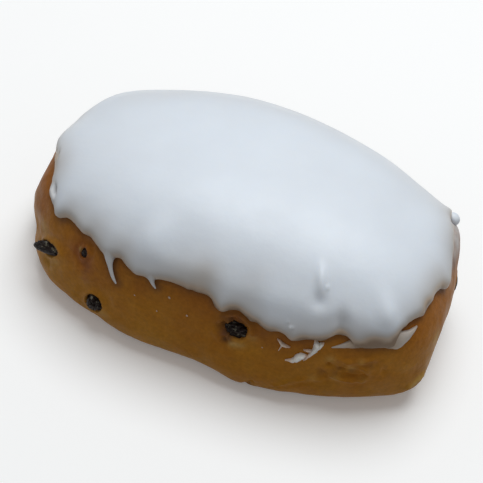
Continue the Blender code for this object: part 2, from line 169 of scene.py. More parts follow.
# Folds and dents of the crust: places as angle and height, then width and push in millimetres
CRUST_FOLDS = (
    (((277.4, 22.2), (278.2, 24.2), (281.0, 25.5), (284.0, 24.6), (285.6, 22.3)), 1.0, 0.85),
    (((278.2, 21.6), (279.2, 23.6), (281.4, 24.4), (283.8, 23.0)), 0.9, -0.9),
    (((277.6, 21.4), (278.6, 20.2)), 1.3, -0.7),
    (((279.1, 17.6), (279.8, 16.6)), 0.9, -1.2),
    (((277.0, 18.6), (279.5, 16.9), (283.0, 17.8)), 1.3, 0.45),
    (((303.5, 18.4), (306.4, 17.4), (309.8, 17.3)), 0.6, -0.75),
    (((305.2, 20.6), (308.0, 20.0), (311.5, 20.9), (313.6, 21.6)), 0.8, 0.60),
    (((304.6, 14.6), (308.0, 13.4), (312.0, 13.6)), 0.8, 0.55),
    (((306.0, 15.8), (309.0, 15.2), (312.5, 15.6)), 0.6, -0.55),
    (((310.8, 18.9), (312.6, 17.6), (313.4, 15.8)), 0.7, 0.55),
    (((302.0, 16.0), (303.2, 14.2), (304.0, 12.0)), 0.7, -0.45),
    (((314.6, 19.6), (316.6, 18.2), (317.4, 16.0)), 0.8, -0.40),
    (((293.4, 6.6), (296.4, 9.4), (300.0, 11.4), (303.4, 12.4)), 0.55, 0.40),
    (((294.6, 5.6), (297.6, 8.2), (301.0, 10.2)), 0.6, -0.30),
    (((286.6, 0.5), (287.2, 2.6), (288.0, 5.4)), 0.9, -0.95),
    (((327.6, 8.4), (330.4, 9.8), (333.2, 10.6)), 0.9, 0.70),
    (((328.2, 6.6), (331.0, 7.9), (334.0, 8.6)), 0.8, -0.50),
    (((224.0, 12.9), (227.0, 12.2)), 0.9, -0.35),
    (((239.8, 26.2), (238.6, 27.0)), 0.7, 0.35),
)

FOLD_BREAKS = ((2.4, 1400, 9),)
PATH_REACH = 20 * MM
NO_COAT = -20 * MM
BARE_FADE = 1.6 * MM

# The rim of a currant's pit: place and width as shares of the currant, and push in millimetres
PIT_RIMS = ((1.16, 0.16, 0.32), (1.9, 0.5, -0.30))

# Painted shade on the crust beside the icing's edge and round a currant, how dark and how far, and how much
# of that the glaze covers
EDGE_SHADE = 0.62
EDGE_SHADE_REACH = 1.4 * MM
CURRANT_SHADE = 0.8
CURRANT_SHADE_FROM = 0.9
CURRANT_SHADE_FADE = 0.22
GLAZE_COVER = 0.8

# Tints of the crust, the pale ones partly paler baked crust and partly painted highlights on ridges and
# lips: angle, height, reach and strength
RED_TINTS = (
    (240.3, 22.4, 2.4, 0.9), (237.6, 24.6, 3.0, 1.0), (235.6, 24.2, 2.0, 0.6), (279.0, 18.8, 1.4, 1.0),
    (281.0, 24.2, 2.8, 0.8), (196.0, 26.0, 8.0, 0.5), (212.0, 24.0, 8.0, 0.5), (345.0, 22.0, 7.0, 0.5),
    (28.0, 26.0, 7.0, 0.6), (287.0, 22.4, 4.0, 0.5), (293.0, 22.4, 2.6, 0.6), (298.0, 23.2, 2.6, 0.6),
    (120.0, 22.0, 8.0, 0.4), (75.0, 18.0, 8.0, 0.3), (241.0, 17.8, 0.9, 0.7), (256.0, 24.0, 3.0, 0.4),
)
PALE_TINTS_AND_HIGHLIGHTS = (
    (219.5, 20.5, 2.4, 0.6), (236.6, 25.4, 0.7, 0.9), (282.0, 16.9, 1.2, 0.8), (281.0, 16.5, 0.9, 0.5),
    (283.6, 17.4, 1.2, 0.6), (227.4, 19.2, 1.3, 0.6), (229.6, 15.4, 1.4, 0.5), (331.0, 9.6, 1.5, 1.3),
    (333.2, 10.3, 1.4, 1.2), (328.8, 8.7, 1.4, 0.9), (340.0, 21.5, 1.6, 0.6), (338.6, 20.2, 1.3, 0.5),
    (285.8, 20.6, 1.2, 0.4), (350.0, 15.0, 2.0, 0.5), (226.0, 13.0, 3.0, 0.4), (338.0, 15.0, 5.0, 0.3),
    (308.6, 17.9, 1.2, 0.5), (301.0, 12.2, 1.2, 0.4), (303.6, 20.2, 1.2, 0.6), (310.6, 20.8, 1.0, 0.45),
    (305.6, 13.8, 1.2, 0.4), (247.5, 8.8, 1.6, 0.5), (312.0, 14.2, 1.2, 0.2), (150.0, 16.0, 4.0, 0.3),
    (60.0, 14.0, 5.0, 0.3),
)

# Painted shade in the pits, creases and hollows round the currants and under the icing's arches: angle,
# height, reach and strength
PAINTED_SHADE_SPOTS = (
    (278.0, 24.2, 1.5, 0.45), (279.6, 25.2, 1.5, 0.50), (281.6, 25.3, 1.5, 0.50),
    (283.6, 24.4, 1.3, 0.40), (279.5, 16.9, 1.0, 0.95), (278.2, 21.2, 1.8, 0.60),
    (279.5, 23.2, 1.8, 0.70), (279.2, 19.4, 1.7, 0.85), (280.3, 18.2, 1.2, 0.80),
    (282.0, 24.0, 1.4, 0.60), (240.6, 20.4, 0.7, 0.4), (241.2, 22.2, 0.6, 0.4), (306.0, 17.4, 0.9, 0.4),
    (309.0, 17.0, 0.9, 0.4), (305.0, 15.4, 1.2, 0.4), (302.6, 15.0, 1.2, 0.35), (313.0, 19.6, 1.4, 0.3),
    (239.2, 24.2, 1.0, 0.3), (237.0, 25.0, 1.8, 0.25), (240.5, 22.4, 1.4, 0.3), (13.5, 29.6, 1.8, 0.9),
    (288.0, 23.0, 1.5, 0.25), (292.0, 23.4, 1.4, 0.25),
)

# Steps of the fine rows that evenly spaced places are picked from
CRUST_FINE_ANGLES = 5761
CRUST_FINE_LEVELS = 2000
COAT_FINE_ANGLES = 1441
COAT_FINE_LEVELS = 4000
FLAT_FINE_LEVELS = 500

# The icing's fine edge and its forms
BAND_COLUMNS = 1100
BAND_ROWS = 84
BAND_HEIGHTS = (18.0 * MM, 39.0 * MM)
EDGE_WINDOW = 5.5
EDGE_POINTS = 4400
EDGE_RIPPLE = ((3.2, 0.30, 11), (1.3, 0.16, 12))
EDGE_THICKNESS = 2.0 * MM
EDGE_ROLL = 2.8 * MM
EDGE_CIRCLE = 0.4
# How the coat darkens towards its edge, in two reaches: thin icing that shows the crust right at the edge,
# and painted shade over the wider reach
EDGE_THINNESS_AND_SHADE = ((0.42, 1.7 * MM), (0.26, 5.0 * MM))
DRIP_WHITENESS = 0.6
DRIP_MARGIN = 4
STRIP_LINE_STEPS = 160
NOSE_SHARE = 0.34
FOOT_REACH = 0.8 * MM
COAT_SWELL = 7.0 * MM
SWELL_TURNS = 6
JOIN_BLEND = 0.9 * MM
OUTLINE_STEP = 0.34 * MM
OUTLINE_SMOOTHING = 2
SHORTEST_LOOP = 12
CLEAR_SHARE = 0.8
EDGE_ROWS = (0.09 * MM, 0.24 * MM, 0.46 * MM, 0.78 * MM, 1.2 * MM)
FOOT_ROWS = (0.12 * MM, 0.4 * MM, 0.9 * MM)
COAT_STEP = 0.72 * MM
COAT_INSET = 1.45 * MM
FINE_COAT_STEP = 0.36 * MM
NEAR_FORM_REACH = 2.2
NEAR_FORM_CELLS = (0.006, 0.003)
TRIANGLE_HEIGHT = 0.87
UNDERSIDE_STEP = 2.6 * MM
UNDERSIDE_INSET = 1.8 * MM
SMALL_FORM = 2
FORM_FADE = 1.5 * MM

# Forms on the coat: angle, height, half length, half width, turn from upright and lift, in millimetres
ICING_FORMS = (
    (302.5, 37.7, 3.3, 1.3, 10, 0.90), (301.0, 34.5, 2.0, 2.0, 10, -0.70),
    (303.8, 36.9, 0.6, 0.45, 10, 0.25), (317.8, 32.9, 5.0, 3.0, 8, 1.10),
    (317.9, 32.8, 3.4, 1.9, 8, 0.40), (305.6, 30.4, 3.6, 1.8, 8, -1.35),
    (262.0, 33.6, 3.4, 15.0, 0, 0.40), (298.0, 33.2, 3.4, 15.0, 0, 0.45),
    (253.2, 36.2, 4.6, 3.8, 0, 0.90), (272.6, 36.0, 5.0, 3.4, 0, 0.20), (287.2, 34.4, 5.0, 3.2, 0, 0.20),
    (248.0, 33.5, 4.5, 2.2, 0, -0.25), (262.4, 34.0, 4.5, 2.4, 0, -0.20),
    (230.0, 34.2, 4.0, 3.4, 0, -0.30), (216.5, 31.6, 1.5, 0.55, 58, -1.50),
    (217.2, 30.3, 1.9, 0.55, 58, 0.80), (200.5, 33.9, 1.4, 0.50, 65, -0.90),
    (188.0, 33.6, 3.0, 6.0, 0, 0.50), (33.5, 33.6, 2.2, 2.2, 0, 0.70), (294.2, 28.1, 0.42, 0.55, 0, 0.55),
    (293.3, 29.2, 0.3, 0.3, 0, 0.25),
)
COAT_BUMPS = ((22, 0.30, 21), (7, 0.07, 22))

# Where the coat thins out towards its edge: angle, height, reach and share taken off
THIN_EDGES = ((309.5, 25.8, 3.2, 0.55), (314.0, 25.4, 3.4, 0.60), (318.6, 25.8, 3.2, 0.55))

# Where the crust shows through the coat, and painted shade on the coat at the weaker places, with painted
# light where the strength is below 0: angle, height, reach and strength
THIN_AND_SHADED_PLACES = (
    (309.4, 25.6, 1.6, 0.30), (312.2, 27.4, 2.8, 0.55), (315.5, 28.0, 2.8, 0.50),
    (318.4, 26.2, 2.0, 0.40), (319.5, 28.8, 2.2, 0.35), (317.2, 31.2, 3.0, -0.42),
    (325.5, 31.0, 2.4, 0.05), (333.5, 32.3, 2.2, 0.40), (338.0, 33.5, 5.0, 0.15),
    (350.0, 33.0, 5.0, 0.18), (14.0, 34.0, 5.0, 0.15), (204.0, 34.5, 5.0, 0.12), (200.5, 33.8, 0.8, 0.12),
    (212.0, 33.0, 5.0, 0.06), (216.4, 31.5, 0.8, 0.12), (221.5, 31.5, 3.5, -0.15),
    (228.0, 31.0, 4.0, 0.12), (238.5, 32.8, 4.5, 0.14), (238.0, 29.2, 1.8, 0.30),
    (248.0, 32.0, 3.5, 0.14), (264.0, 31.6, 6.0, 0.12), (271.0, 31.6, 6.0, 0.30),
    (271.0, 34.5, 3.0, 0.12), (275.5, 27.0, 1.8, 0.30), (276.0, 31.2, 3.0, -0.10),
    (290.0, 31.5, 4.0, -0.12), (280.0, 28.0, 2.4, 0.40), (284.5, 35.0, 5.0, 0.14),
    (284.0, 28.0, 3.5, 0.15), (284.5, 26.8, 2.0, 0.30), (286.5, 25.9, 2.2, 0.20),
    (289.5, 26.0, 2.2, 0.34), (297.2, 25.2, 2.2, 0.38), (296.0, 26.5, 3.0, 0.15),
    (301.0, 26.4, 2.2, 0.40), (305.5, 28.6, 1.6, 0.30),
)
# Painted shade along the coat's far shoulder: angle and height of each place, then reach and strength
SHADED_SHOULDER = (
    (36, 34.6), (46, 37.0), (57, 38.6), (68, 39.4), (79, 39.6), (90, 39.7), (101, 39.7), (113, 39.6),
    (125, 39.4), (137, 38.8), (150, 37.8),
)
SHOULDER_SHADE = (8.0, 0.10)

# The thin glaze on the crust at the blunt end
GLAZE_TINTS = (
    (38.0, 31.0, 4.8, 1.0), (31.0, 31.6, 5.0, 1.0), (24.0, 31.4, 4.8, 1.0), (17.0, 31.0, 3.2, 0.8),
    (11.0, 30.2, 2.4, 0.45), (4.0, 28.3, 2.0, 0.35),
)

# The torn flap under the coat: angle in degrees, then low and high edge and thickness in millimetres
TORN_FLAP = (
    (303.3, 23.75, 24.05, 0.30), (305.4, 24.4, 25.4, 0.75), (308, 24.7, 27.0, 0.90),
    (309.6, 24.8, 27.4, 0.65), (312.4, 25.0, 28.2, 0.45), (316.4, 25.0, 28.2, 0.60),
    (318.0, 24.8, 28.5, 1.00), (319.4, 24.5, 29.0, 1.30), (320.6, 24.9, 29.1, 1.40),
    (322.0, 25.8, 28.9, 1.35), (324.2, 27.0, 28.8, 1.10), (326.2, 28.0, 29.0, 0.80),
    (328.0, 28.85, 29.1, 0.30),
)
FLAP_THINNESS = (
    (303.3, 0.60), (306.5, 0.66), (308.6, 0.88), (312, 1.00), (315, 1.00), (317.5, 0.85), (319.5, 0.68),
    (323, 0.60), (328.0, 0.70),
)
FLAP_COLUMNS = 110
FLAP_ROWS = 18
FLAP_SINK = 0.25 * MM
FLAP_SQUARENESS = 0.55
FLAP_WAVE = ((1.6, 180, 15),)
FLAP_BUMPS = ((3.0, 0.16, 16), (1.1, 0.07, 17))

# Loose bits
STRIP_SIDES = 14
STRIP_STEPS = 40
STRIP_BUMPS = ((1.5, 350), (0.6, 220))
STRIP_BELLY = 0.35
CRUMB_SINK = 0.1 * MM
SPECKS = (
    (255.2, 21.1, 0.26), (263.6, 24.4, 0.36), (269.1, 20.9, 0.28), (261.6, 18.8, 0.2), (288.4, 19.0, 0.2),
    (118.0, 19.0, 0.32), (82.0, 17.5, 0.28),
)
SPECK_THINNESS = 0.85
CRUMB_THINNESS = 0.75
CRUMB_THIN_WIDTH = 0.28
CRUMB_WIDTH_FADE = 0.7
CURRANT_COLUMNS = 72
CURRANT_RINGS = 48

# Colours are linear red, green and blue
GOLD = (0.490, 0.212, 0.018)
BROWN = (0.405, 0.152, 0.012)
OLIVE = (0.410, 0.185, 0.009)
RED_BROWN = (0.315, 0.098, 0.018)
# Pale baked crust, also used as a painted highlight on ridges and lips
PALE_CRUST_AND_HIGHLIGHT = (0.60, 0.39, 0.12)
# The dark brown that painted shade on the crust is blended towards
PAINTED_SHADE_BROWN = (0.11, 0.055, 0.030)
BASE_BROWN = (0.160, 0.065, 0.012)
ICING_WHITE = (0.79, 0.845, 0.915)
SHADED_ICING = (0.54, 0.52, 0.50)
THIN_ICING = (0.52, 0.41, 0.31)
DEEP_ICING = (0.25, 0.165, 0.10)
GLAZE_GREY = (0.58, 0.56, 0.55)
CRUMB_WHITE = (0.97, 0.96, 0.90)
CRUMB_THIN = (0.84, 0.65, 0.53)
CURRANT_DARK = (0.018, 0.010, 0.008)
CURRANT_GREY = (0.36, 0.34, 0.26)
FLOOR_WHITE = (0.93, 0.93, 0.925)

# Lights: place, size in metres, power in watts and colour
LIGHTS = {
    "overhead": ((0.01, 0.22, 0.85), 0.7, 5.6, (0.95, 0.98, 1.0)),
    "side": ((-0.75, 0.05, 0.40), 0.5, 0.08, (0.97, 0.96, 1.0)),
}
LIGHT_TARGET = (0, 0, 0.02)
STUDIO_COLOUR = (1.0, 0.99, 0.98)
STUDIO_STRENGTH = 0.26
FLOOR_GLOW = 0.14
FLOOR_SIZE = 6
FLOOR_LEVEL = -0.05 * MM


def smooth_through(knots, places):
    """Values at these places on a smooth curve through the rows of knots, which start with the place."""
    knots = np.asarray(knots, float)
    place, value = knots[:, 0], knots[:, 1:]
    slope = np.gradient(value, place, axis=0)
    right = np.clip(np.searchsorted(place, places, side="right"), 1, len(place) - 1)
    left = right - 1
    span = (place[right] - place[left])[:, None]
    part = (np.asarray(places) - place[left])[:, None] / span
    rise = part * part * (3 - 2 * part)
    start = part * (1 - part) ** 2 * span
    end = part * part * (part - 1) * span
    return value[left] * (1 - rise) + value[right] * rise + slope[left] * start + slope[right] * end


def outline(angle):
    """The widest outline: a squared-off oval, rounder at the -X end."""
    across, along = np.sin(angle), np.cos(angle)
    blunt = 0.5 + 0.5 * along
    power = ROUND_END_POWER + (BLUNT_END_POWER - ROUND_END_POWER) * blunt
    size = (np.abs(along) + 1e-9) ** power + (np.abs(across) + 1e-9) ** power
    reach = size ** (-1 / power)
    narrowing = 1 + TAPER * reach * along
    return 0.5 * LENGTH * reach * along, 0.5 * WIDTH * reach * across * narrowing


def profile(level):
    """The share of the outline and the height at a level."""
    rim = np.clip((level - BASE_LEVEL) / (WAIST_LEVEL - BASE_LEVEL), 0, 1) * math.pi / 2
    crown = np.clip((level - WAIST_LEVEL) / (1 - WAIST_LEVEL), 0, 1) * math.pi / 2
    base_share = BASE_SHARE * level / BASE_LEVEL
    rim_share = BASE_SHARE + (1 - BASE_SHARE) * np.sin(rim)
    crown_share = np.maximum(np.cos(crown), 0) ** (2 / CROWN_POWER)
    share = np.where(level < BASE_LEVEL, base_share, np.where(level < WAIST_LEVEL, rim_share, crown_share))
    rim_height = WAIST_HEIGHT * (1 - np.cos(rim))
    crown_height = WAIST_HEIGHT + (HEIGHT - WAIST_HEIGHT) * np.sin(crown) ** (2 / CROWN_POWER)
    return share, np.where(level < WAIST_LEVEL, rim_height, crown_height)


def level_at(height):
    """The level on the side of the bun at a height."""
    height = np.asarray(height, float)
    below = np.arccos(np.clip(1 - height / WAIST_HEIGHT, -1, 1)) / (math.pi / 2)
    part = np.clip((height - WAIST_HEIGHT) / (HEIGHT - WAIST_HEIGHT), 0, 1)
    above = np.arcsin(part ** (CROWN_POWER / 2)) / (math.pi / 2)
    low = BASE_LEVEL + (WAIST_LEVEL - BASE_LEVEL) * below
    high = WAIST_LEVEL + (1 - WAIST_LEVEL) * above
    return np.where(height < WAIST_HEIGHT, low, high)


def even_skin(angle, level):
    """The crust before its lumps."""
    x, y = outline(angle)
    share, height = profile(level)
    lean = np.clip((height - WAIST_HEIGHT) / (HEIGHT - WAIST_HEIGHT), 0, 1)
    x = x * share + CROWN_LEAN[0] * lean + BASE_MIDDLE[0]
    y = y * share + CROWN_LEAN[1] * lean + BASE_MIDDLE[1]
    return np.stack([x, y, height + 0 * x], axis=-1)


def length_of(vectors):
    """The length of each vector."""
    return np.linalg.norm(vectors, axis=-1)


def unit(vectors):
    """The vectors, each made 1 long."""
    return vectors / length_of(vectors)[..., None]


def skin_normal(angle, level, step=1e-4):
    """The outward direction on the even skin."""
    level = np.clip(level, step, 1 - 2 * step)
    here = even_skin(angle, level)
    round_bun = even_skin(angle + step, level) - here
    upwards = even_skin(angle, level + step) - here
    return unit(np.cross(round_bun, upwards))


def skin(angle, level, lift=0.0):
    """A point on the lumpy crust, or lifted off it along the normal."""
    point = even_skin(angle, level)
    push = np.zeros(point.shape[:-1])
    for degrees, height, reach, amount in LUMPS:
        middle = even_skin(math.radians(degrees), level_at(height * MM))
        push += amount * MM * np.exp(-((length_of(point - middle) / (reach * MM)) ** 2))
    push *= standing_share(level)
    lumpy = point + skin_normal(angle, level) * (push + lift)[..., None]
    lumpy[..., 2] = np.maximum(lumpy[..., 2], 0)
    return lumpy


def standing_share(level):
    """0 on the flat base, rising to 1 on the side."""
    return np.clip((level - FLAT_LEVEL) / (BASE_LEVEL - FLAT_LEVEL), 0, 1)


def on_crust(degrees, height, lift=0.0):
    """A point on the crust at an angle in degrees and a height in millimetres."""
    return skin(np.radians(degrees), level_at(height * MM), lift)


def run_along(points):
    """How far along a row of points each of them lies."""
    return np.concatenate([[0], np.cumsum(length_of(np.diff(points, axis=0)))])


def side_run(levels):
    """How far up the middle of the long side each level lies."""
    return run_along(even_skin(np.full(len(levels), 1.5 * math.pi), levels))


def through(stations, count):
    """Each column of the stations, run smoothly through them in this many steps."""
    rows = np.column_stack([np.arange(len(stations)), np.asarray(stations, float)])
    return smooth_through(rows, np.linspace(0, len(stations) - 1, count)).T


def icing_edge_height(angle):
    """The height of the icing's lower edge at each angle."""
    knots = [(place - 360, height) for place, height in ICING_EDGE]
    knots += list(ICING_EDGE)
    knots += [(place + 360, height) for place, height in ICING_EDGE]
    return smooth_through(knots, np.degrees(angle))[:, 0] * MM


def currant_frame(degrees, height, turn, lift):
    """Where a currant sits, with its long, wide and short axes."""
    angle, level = np.array(math.radians(degrees)), level_at(height * MM)
    place, normal = skin(angle, level), skin_normal(angle, level)
    upwards = unit(np.array([0, 0, 1]) - normal * normal[2])
    round_bun = np.cross(upwards, normal)
    turn, lift = math.radians(turn), math.radians(lift)
    flat = math.cos(turn) * round_bun + math.sin(turn) * upwards
    along = math.cos(lift) * flat + math.sin(lift) * normal
    short = math.cos(lift) * normal - math.sin(lift) * flat
    return place, normal, np.array([along, np.cross(short, along), short])


def soft_step(value):
    """Rises smoothly from 0 to 1 as the value does."""
    value = np.clip(value, 0, 1)
    return value * value * (3 - 2 * value)


def soft_join(first, second, blend):
    """The larger of two values, rounded off where they meet."""
    overlap = np.maximum(blend - np.abs(first - second), 0) / blend
    return np.maximum(first, second) + 0.25 * blend * overlap**2


def bumps(points, rows):
    """Smooth noise in metres, from rows of size and push in millimetres and a seed."""
    total = np.zeros(len(points))
    for size, push, seed in rows:
        shift = Vector((7.1 * seed, 3.7 * seed, 5.3 * seed))
        scale = 1 / (size * MM)
        values = [noise.noise(Vector(point) * scale + shift) for point in points.tolist()]
        total += push * MM * np.array(values)
    return total


def spaced(places, weights, count, closed=False):
    """This many places out of a fine row of them, closer together where the weight is high."""
    total = np.concatenate([[0], np.cumsum(0.5 * (weights[1:] + weights[:-1]) * np.diff(places))])
    wanted = np.linspace(0, total[-1], count, endpoint=not closed)
    return np.interp(wanted, total, places)


def mesh_piece(name, points, faces, material):
    """An object in the scene, shaded smooth."""
    mesh = bpy.data.meshes.new(name)
    mesh.from_pydata(np.asarray(points, float).tolist(), [], faces)
    mesh.validate()
    mesh.shade_smooth()
    mesh.materials.append(material)
    return in_scene(name, mesh)


def ring_faces(rings, columns, first=0):
    """Quads between the rings, whose points follow on from each other."""
    low = first + np.arange(rings - 1)[:, None] * columns + np.arange(columns)
    beside = first + np.arange(rings - 1)[:, None] * columns + (np.arange(columns) + 1) % columns
    faces = np.stack([low, beside, beside + columns, low + columns], axis=-1)
    return faces.reshape(-1, 4).tolist()


def closed_loft(rings, first_point, last_point, start=0):
    """Points and faces of a closed body through rings of points, shut at both ends by a fan."""
    count, columns = rings.shape[:2]
    points = np.concatenate([rings.reshape(-1, 3), [first_point, last_point]])
    faces = ring_faces(count, columns, start)
    first, last, top = start + count * columns, start + count * columns + 1, start + (count - 1) * columns
    for column in range(columns):
        beside = (column + 1) % columns
        faces.append((first, start + beside, start + column))
        faces.append((last, top + column, top + beside))
    return points, faces


# The signed distance to the icing's edge

def edge_line():
    """Angles of the icing's edge, its ragged height at each, and its points on the crust."""
    angles = np.linspace(0, TAU, EDGE_POINTS, endpoint=False)
    heights = icing_edge_height(angles)
    points = skin(angles, level_at(heights))
    heights = heights + bumps(points, EDGE_RIPPLE)
    return angles, heights, skin(angles, level_at(heights))


def strip_line(stations):
    """Angles and points along the middle of a strip, with its half width and thickness in metres."""
    degrees, height, half_width, thickness = through(stations, STRIP_LINE_STEPS)
    return np.radians(degrees), on_crust(degrees, height), half_width * MM, thickness * MM


def edge_reach(angles, levels, points):
    """How far inside the icing's edge each point of the grid lies, below 0 where it is outside."""
    edge_angles, edge_heights, edge_points = edge_line()
    edge_levels = np.interp(angles, edge_angles, level_at(edge_heights), period=TAU)
    window = int(EDGE_POINTS * EDGE_WINDOW / 360)
    reach = np.empty(points.shape[:2])
    for column, angle in enumerate(angles):
        middle = int(round(angle / TAU * EDGE_POINTS))
        near = edge_points[np.arange(middle - window, middle + window + 1) % EDGE_POINTS]
        away = length_of(points[column][:, None] - near).min(axis=1)
        reach[column] = np.where(levels > edge_levels[column], away, -away)
    return reach


def make_band():
    """A fine grid round the icing's edge, with how far inside it each place is and how thick it is there."""
    angles = np.linspace(0, TAU, BAND_COLUMNS, endpoint=False)
    levels = np.linspace(level_at(BAND_HEIGHTS[0]), level_at(BAND_HEIGHTS[1]), BAND_ROWS)
    points = skin(*np.meshgrid(angles, levels, indexing="ij"))
    coat = edge_reach(angles, levels, points)
    reach = coat.copy()
    thickness = np.full(reach.shape, EDGE_THICKNESS)
    drip = np.zeros(reach.shape)
    for stations in (LONG_DRIP, SHORT_DRIP, BACK_DRIP):
        strip_angles, strip_points, half_width, strip_thickness = strip_line(stations)
        margin = math.radians(DRIP_MARGIN)
        columns = (angles > strip_angles.min() - margin) & (angles < strip_angles.max() + margin)
        inside = half_width - length_of(points[columns][:, :, None] - strip_points)
        best, strip = inside.argmax(axis=-1), inside.max(axis=-1)
        share = soft_step(0.5 + (strip - coat[columns]) / (2 * JOIN_BLEND))
        thickness[columns] = thickness[columns] * (1 - share) + strip_thickness[best] * share
        drip[columns] = np.maximum(drip[columns], share)
        reach[columns] = soft_join(reach[columns], strip, JOIN_BLEND)
    for *place, share in THIN_EDGES:
        thickness *= 1 - share * near_place(points, *place)
    swell = reach.copy()
    for turn in range(SWELL_TURNS):
        swell = 0.25 * (np.roll(swell, 2, 0) + np.roll(swell, -2, 0)) + 0.5 * swell
        swell[:, 1:-1] = 0.25 * (swell[:, 2:] + swell[:, :-2]) + 0.5 * swell[:, 1:-1]
    fields = {"reach": reach, "thickness": thickness, "drip": drip, "swell": swell}
    return {"angles": angles, "levels": levels, **fields}


def sampled(band, field, angle, level):
    """A field of the band at these places, held at the band's first and last row beyond it."""
    column = np.mod(angle, TAU) / TAU * BAND_COLUMNS
    row = (level - band["levels"][0]) / (band["levels"][1] - band["levels"][0])
    row = np.clip(row, 0, BAND_ROWS - 1.001)
    left, low = column.astype(int) % BAND_COLUMNS, row.astype(int)
    right, high = (left + 1) % BAND_COLUMNS, low + 1
    across, up = column - column.astype(int), row - low
    values = band[field]
    lower = values[left, low] * (1 - across) + values[right, low] * across
    upper = values[left, high] * (1 - across) + values[right, high] * across
    return lower * (1 - up) + upper * up


def crossings(band):
    """The cells that the icing's edge crosses, as a table from each crossed side to its neighbours."""
    reach = band["reach"]
    inside = reach > 0
    places, beside = {}, {}
    mixed = inside ^ np.roll(inside, -1, 0)
    mixed[:, :-1] |= inside[:, :-1] ^ inside[:, 1:]
    mixed[:, :-1] |= np.roll(inside, -1, 0)[:, :-1] ^ np.roll(inside, -1, 0)[:, 1:]
    mixed[:, :-1] |= mixed[:, 1:]
    for column, row in np.argwhere(mixed[:, :-1]).tolist():
        right = (column + 1) % BAND_COLUMNS
        sides = (
            ("across", column, row, right, row), ("up", right, row, right, row + 1),
            ("across", column, row + 1, right, row + 1), ("up", column, row, column, row + 1),
        )
        found = []
        for way, first, low, second, high in sides:
            if inside[first, low] == inside[second, high]:
                continue
            part = reach[first, low] / (reach[first, low] - reach[second, high])
            step = (part, 0) if way == "across" else (0, part)
            places[(way, first, low)] = (first + step[0], low + step[1])
            found.append((way, first, low))
        for one, other in zip(found[::2], found[1::2]):
            beside.setdefault(one, []).append(other)
            beside.setdefault(other, []).append(one)
    return places, beside


def edge_loops(band):
    """The icing's outline as closed rows of evenly spaced angles and levels."""
    places, beside = crossings(band)
    unused = set(places)
    loops = []
    for start in sorted(places):
        if start not in unused:
            continue
        chain, here = [], start
        while here is not None:
            unused.discard(here)
            chain.append(places[here])
            here = next((other for other in beside[here] if other in unused), None)
        if len(chain) > SHORTEST_LOOP:
            loops.append(even_loop(band, np.array(chain)))
    return loops


def even_loop(band, chain):
    """A traced loop, smoothed and with its points evenly spaced, the icing on its left."""
    angle = np.unwrap(chain[:, 0] / BAND_COLUMNS * TAU)
    level = band["levels"][0] + chain[:, 1] * (band["levels"][1] - band["levels"][0])
    turns = round((angle[-1] - angle[0]) / TAU)
    for turn in range(OUTLINE_SMOOTHING):
        before = np.concatenate([[angle[-1] - turns * TAU], angle[:-1]])
        after = np.concatenate([angle[1:], [angle[0] + turns * TAU]])
        angle = 0.25 * before + 0.5 * angle + 0.25 * after
        level = 0.25 * np.roll(level, 1) + 0.5 * level + 0.25 * np.roll(level, -1)
    angle = np.append(angle, angle[0] + turns * TAU)
    level = np.append(level, level[0])
    length = run_along(skin(angle, level))
    wanted = np.linspace(0, length[-1], int(length[-1] / OUTLINE_STEP), endpoint=False)
    loop = np.stack([np.interp(wanted, length, angle), np.interp(wanted, length, level)], axis=-1)
    flat = flat_places(loop[:, 0], loop[:, 1])
    after = np.roll(flat, -1, axis=0)
    turning = np.sum(flat[:, 0] * after[:, 1] - flat[:, 1] * after[:, 0])
    return loop if turning > 0 else loop[::-1]


def flat_places(angle, level):
    """The coat laid out flat with its top in the middle, as two coordinates for each place."""
    levels = np.linspace(0, 1, FLAT_FINE_LEVELS)
    length = side_run(levels)
    from_top = length[-1] - np.interp(level, levels, length)
    return np.stack(outline(angle), axis=-1) * (from_top / (0.5 * WIDTH))[:, None]


def moved_in(angle, level, directions, distance):
    """Places moved over the crust by this distance along directions in space."""
    step = 1e-3
    here = even_skin(angle, level)
    by_angle = (even_skin(angle + step, level) - here) / step
    by_level = (even_skin(angle, level + step) - here) / step
    first = np.sum(directions * by_angle, axis=-1)
    second = np.sum(directions * by_level, axis=-1)
    mixed = np.sum(by_angle * by_level, axis=-1)
    around, upwards = np.sum(by_angle**2, axis=-1), np.sum(by_level**2, axis=-1)
    size = around * upwards - mixed**2
    angle_step = (first * upwards - second * mixed) / size
    level_step = (second * around - first * mixed) / size
    return angle + distance * angle_step, level + distance * level_step


def edge_rows(band, loop, distances):
    """Rows of places inside the edge, left out where a strip is too narrow for them."""
    points = skin(*loop.T)
    ahead = np.roll(points, -1, axis=0) - np.roll(points, 1, axis=0)
    inwards = unit(np.cross(skin_normal(*loop.T), ahead))
    rows = []
    for number, distance in enumerate(distances):
        angle, level = moved_in(*loop.T, inwards, distance)
        kept = sampled(band, "reach", angle, level) > CLEAR_SHARE * distance
        if number > 1:
            kept &= np.arange(len(loop)) % 2 == number % 2
        rows.append(np.stack([angle, level], axis=-1)[kept])
    return np.concatenate(rows)


def coat_grid(band, step, least_reach):
    """Evenly spaced places over the coat, ring by ring up to the top."""
    levels = np.linspace(band["levels"][0], 1, COAT_FINE_LEVELS)
    length = side_run(levels)
    rings = np.interp(np.arange(step / 2, length[-1] - step / 2, TRIANGLE_HEIGHT * step), length, levels)
    fine = np.linspace(0, TAU, COAT_FINE_ANGLES)
    rows = []
    for number, level in enumerate(rings):
        length = run_along(even_skin(fine, np.full(len(fine), level)))
        count = max(6, int(length[-1] / step))
        wanted = (np.arange(count) + 0.5 * (number % 2)) * length[-1] / count
        rows.append(np.stack([np.interp(wanted, length, fine), np.full(count, level)], axis=-1))
    places = np.concatenate(rows)
    return places[sampled(band, "reach", *places.T) > least_reach]


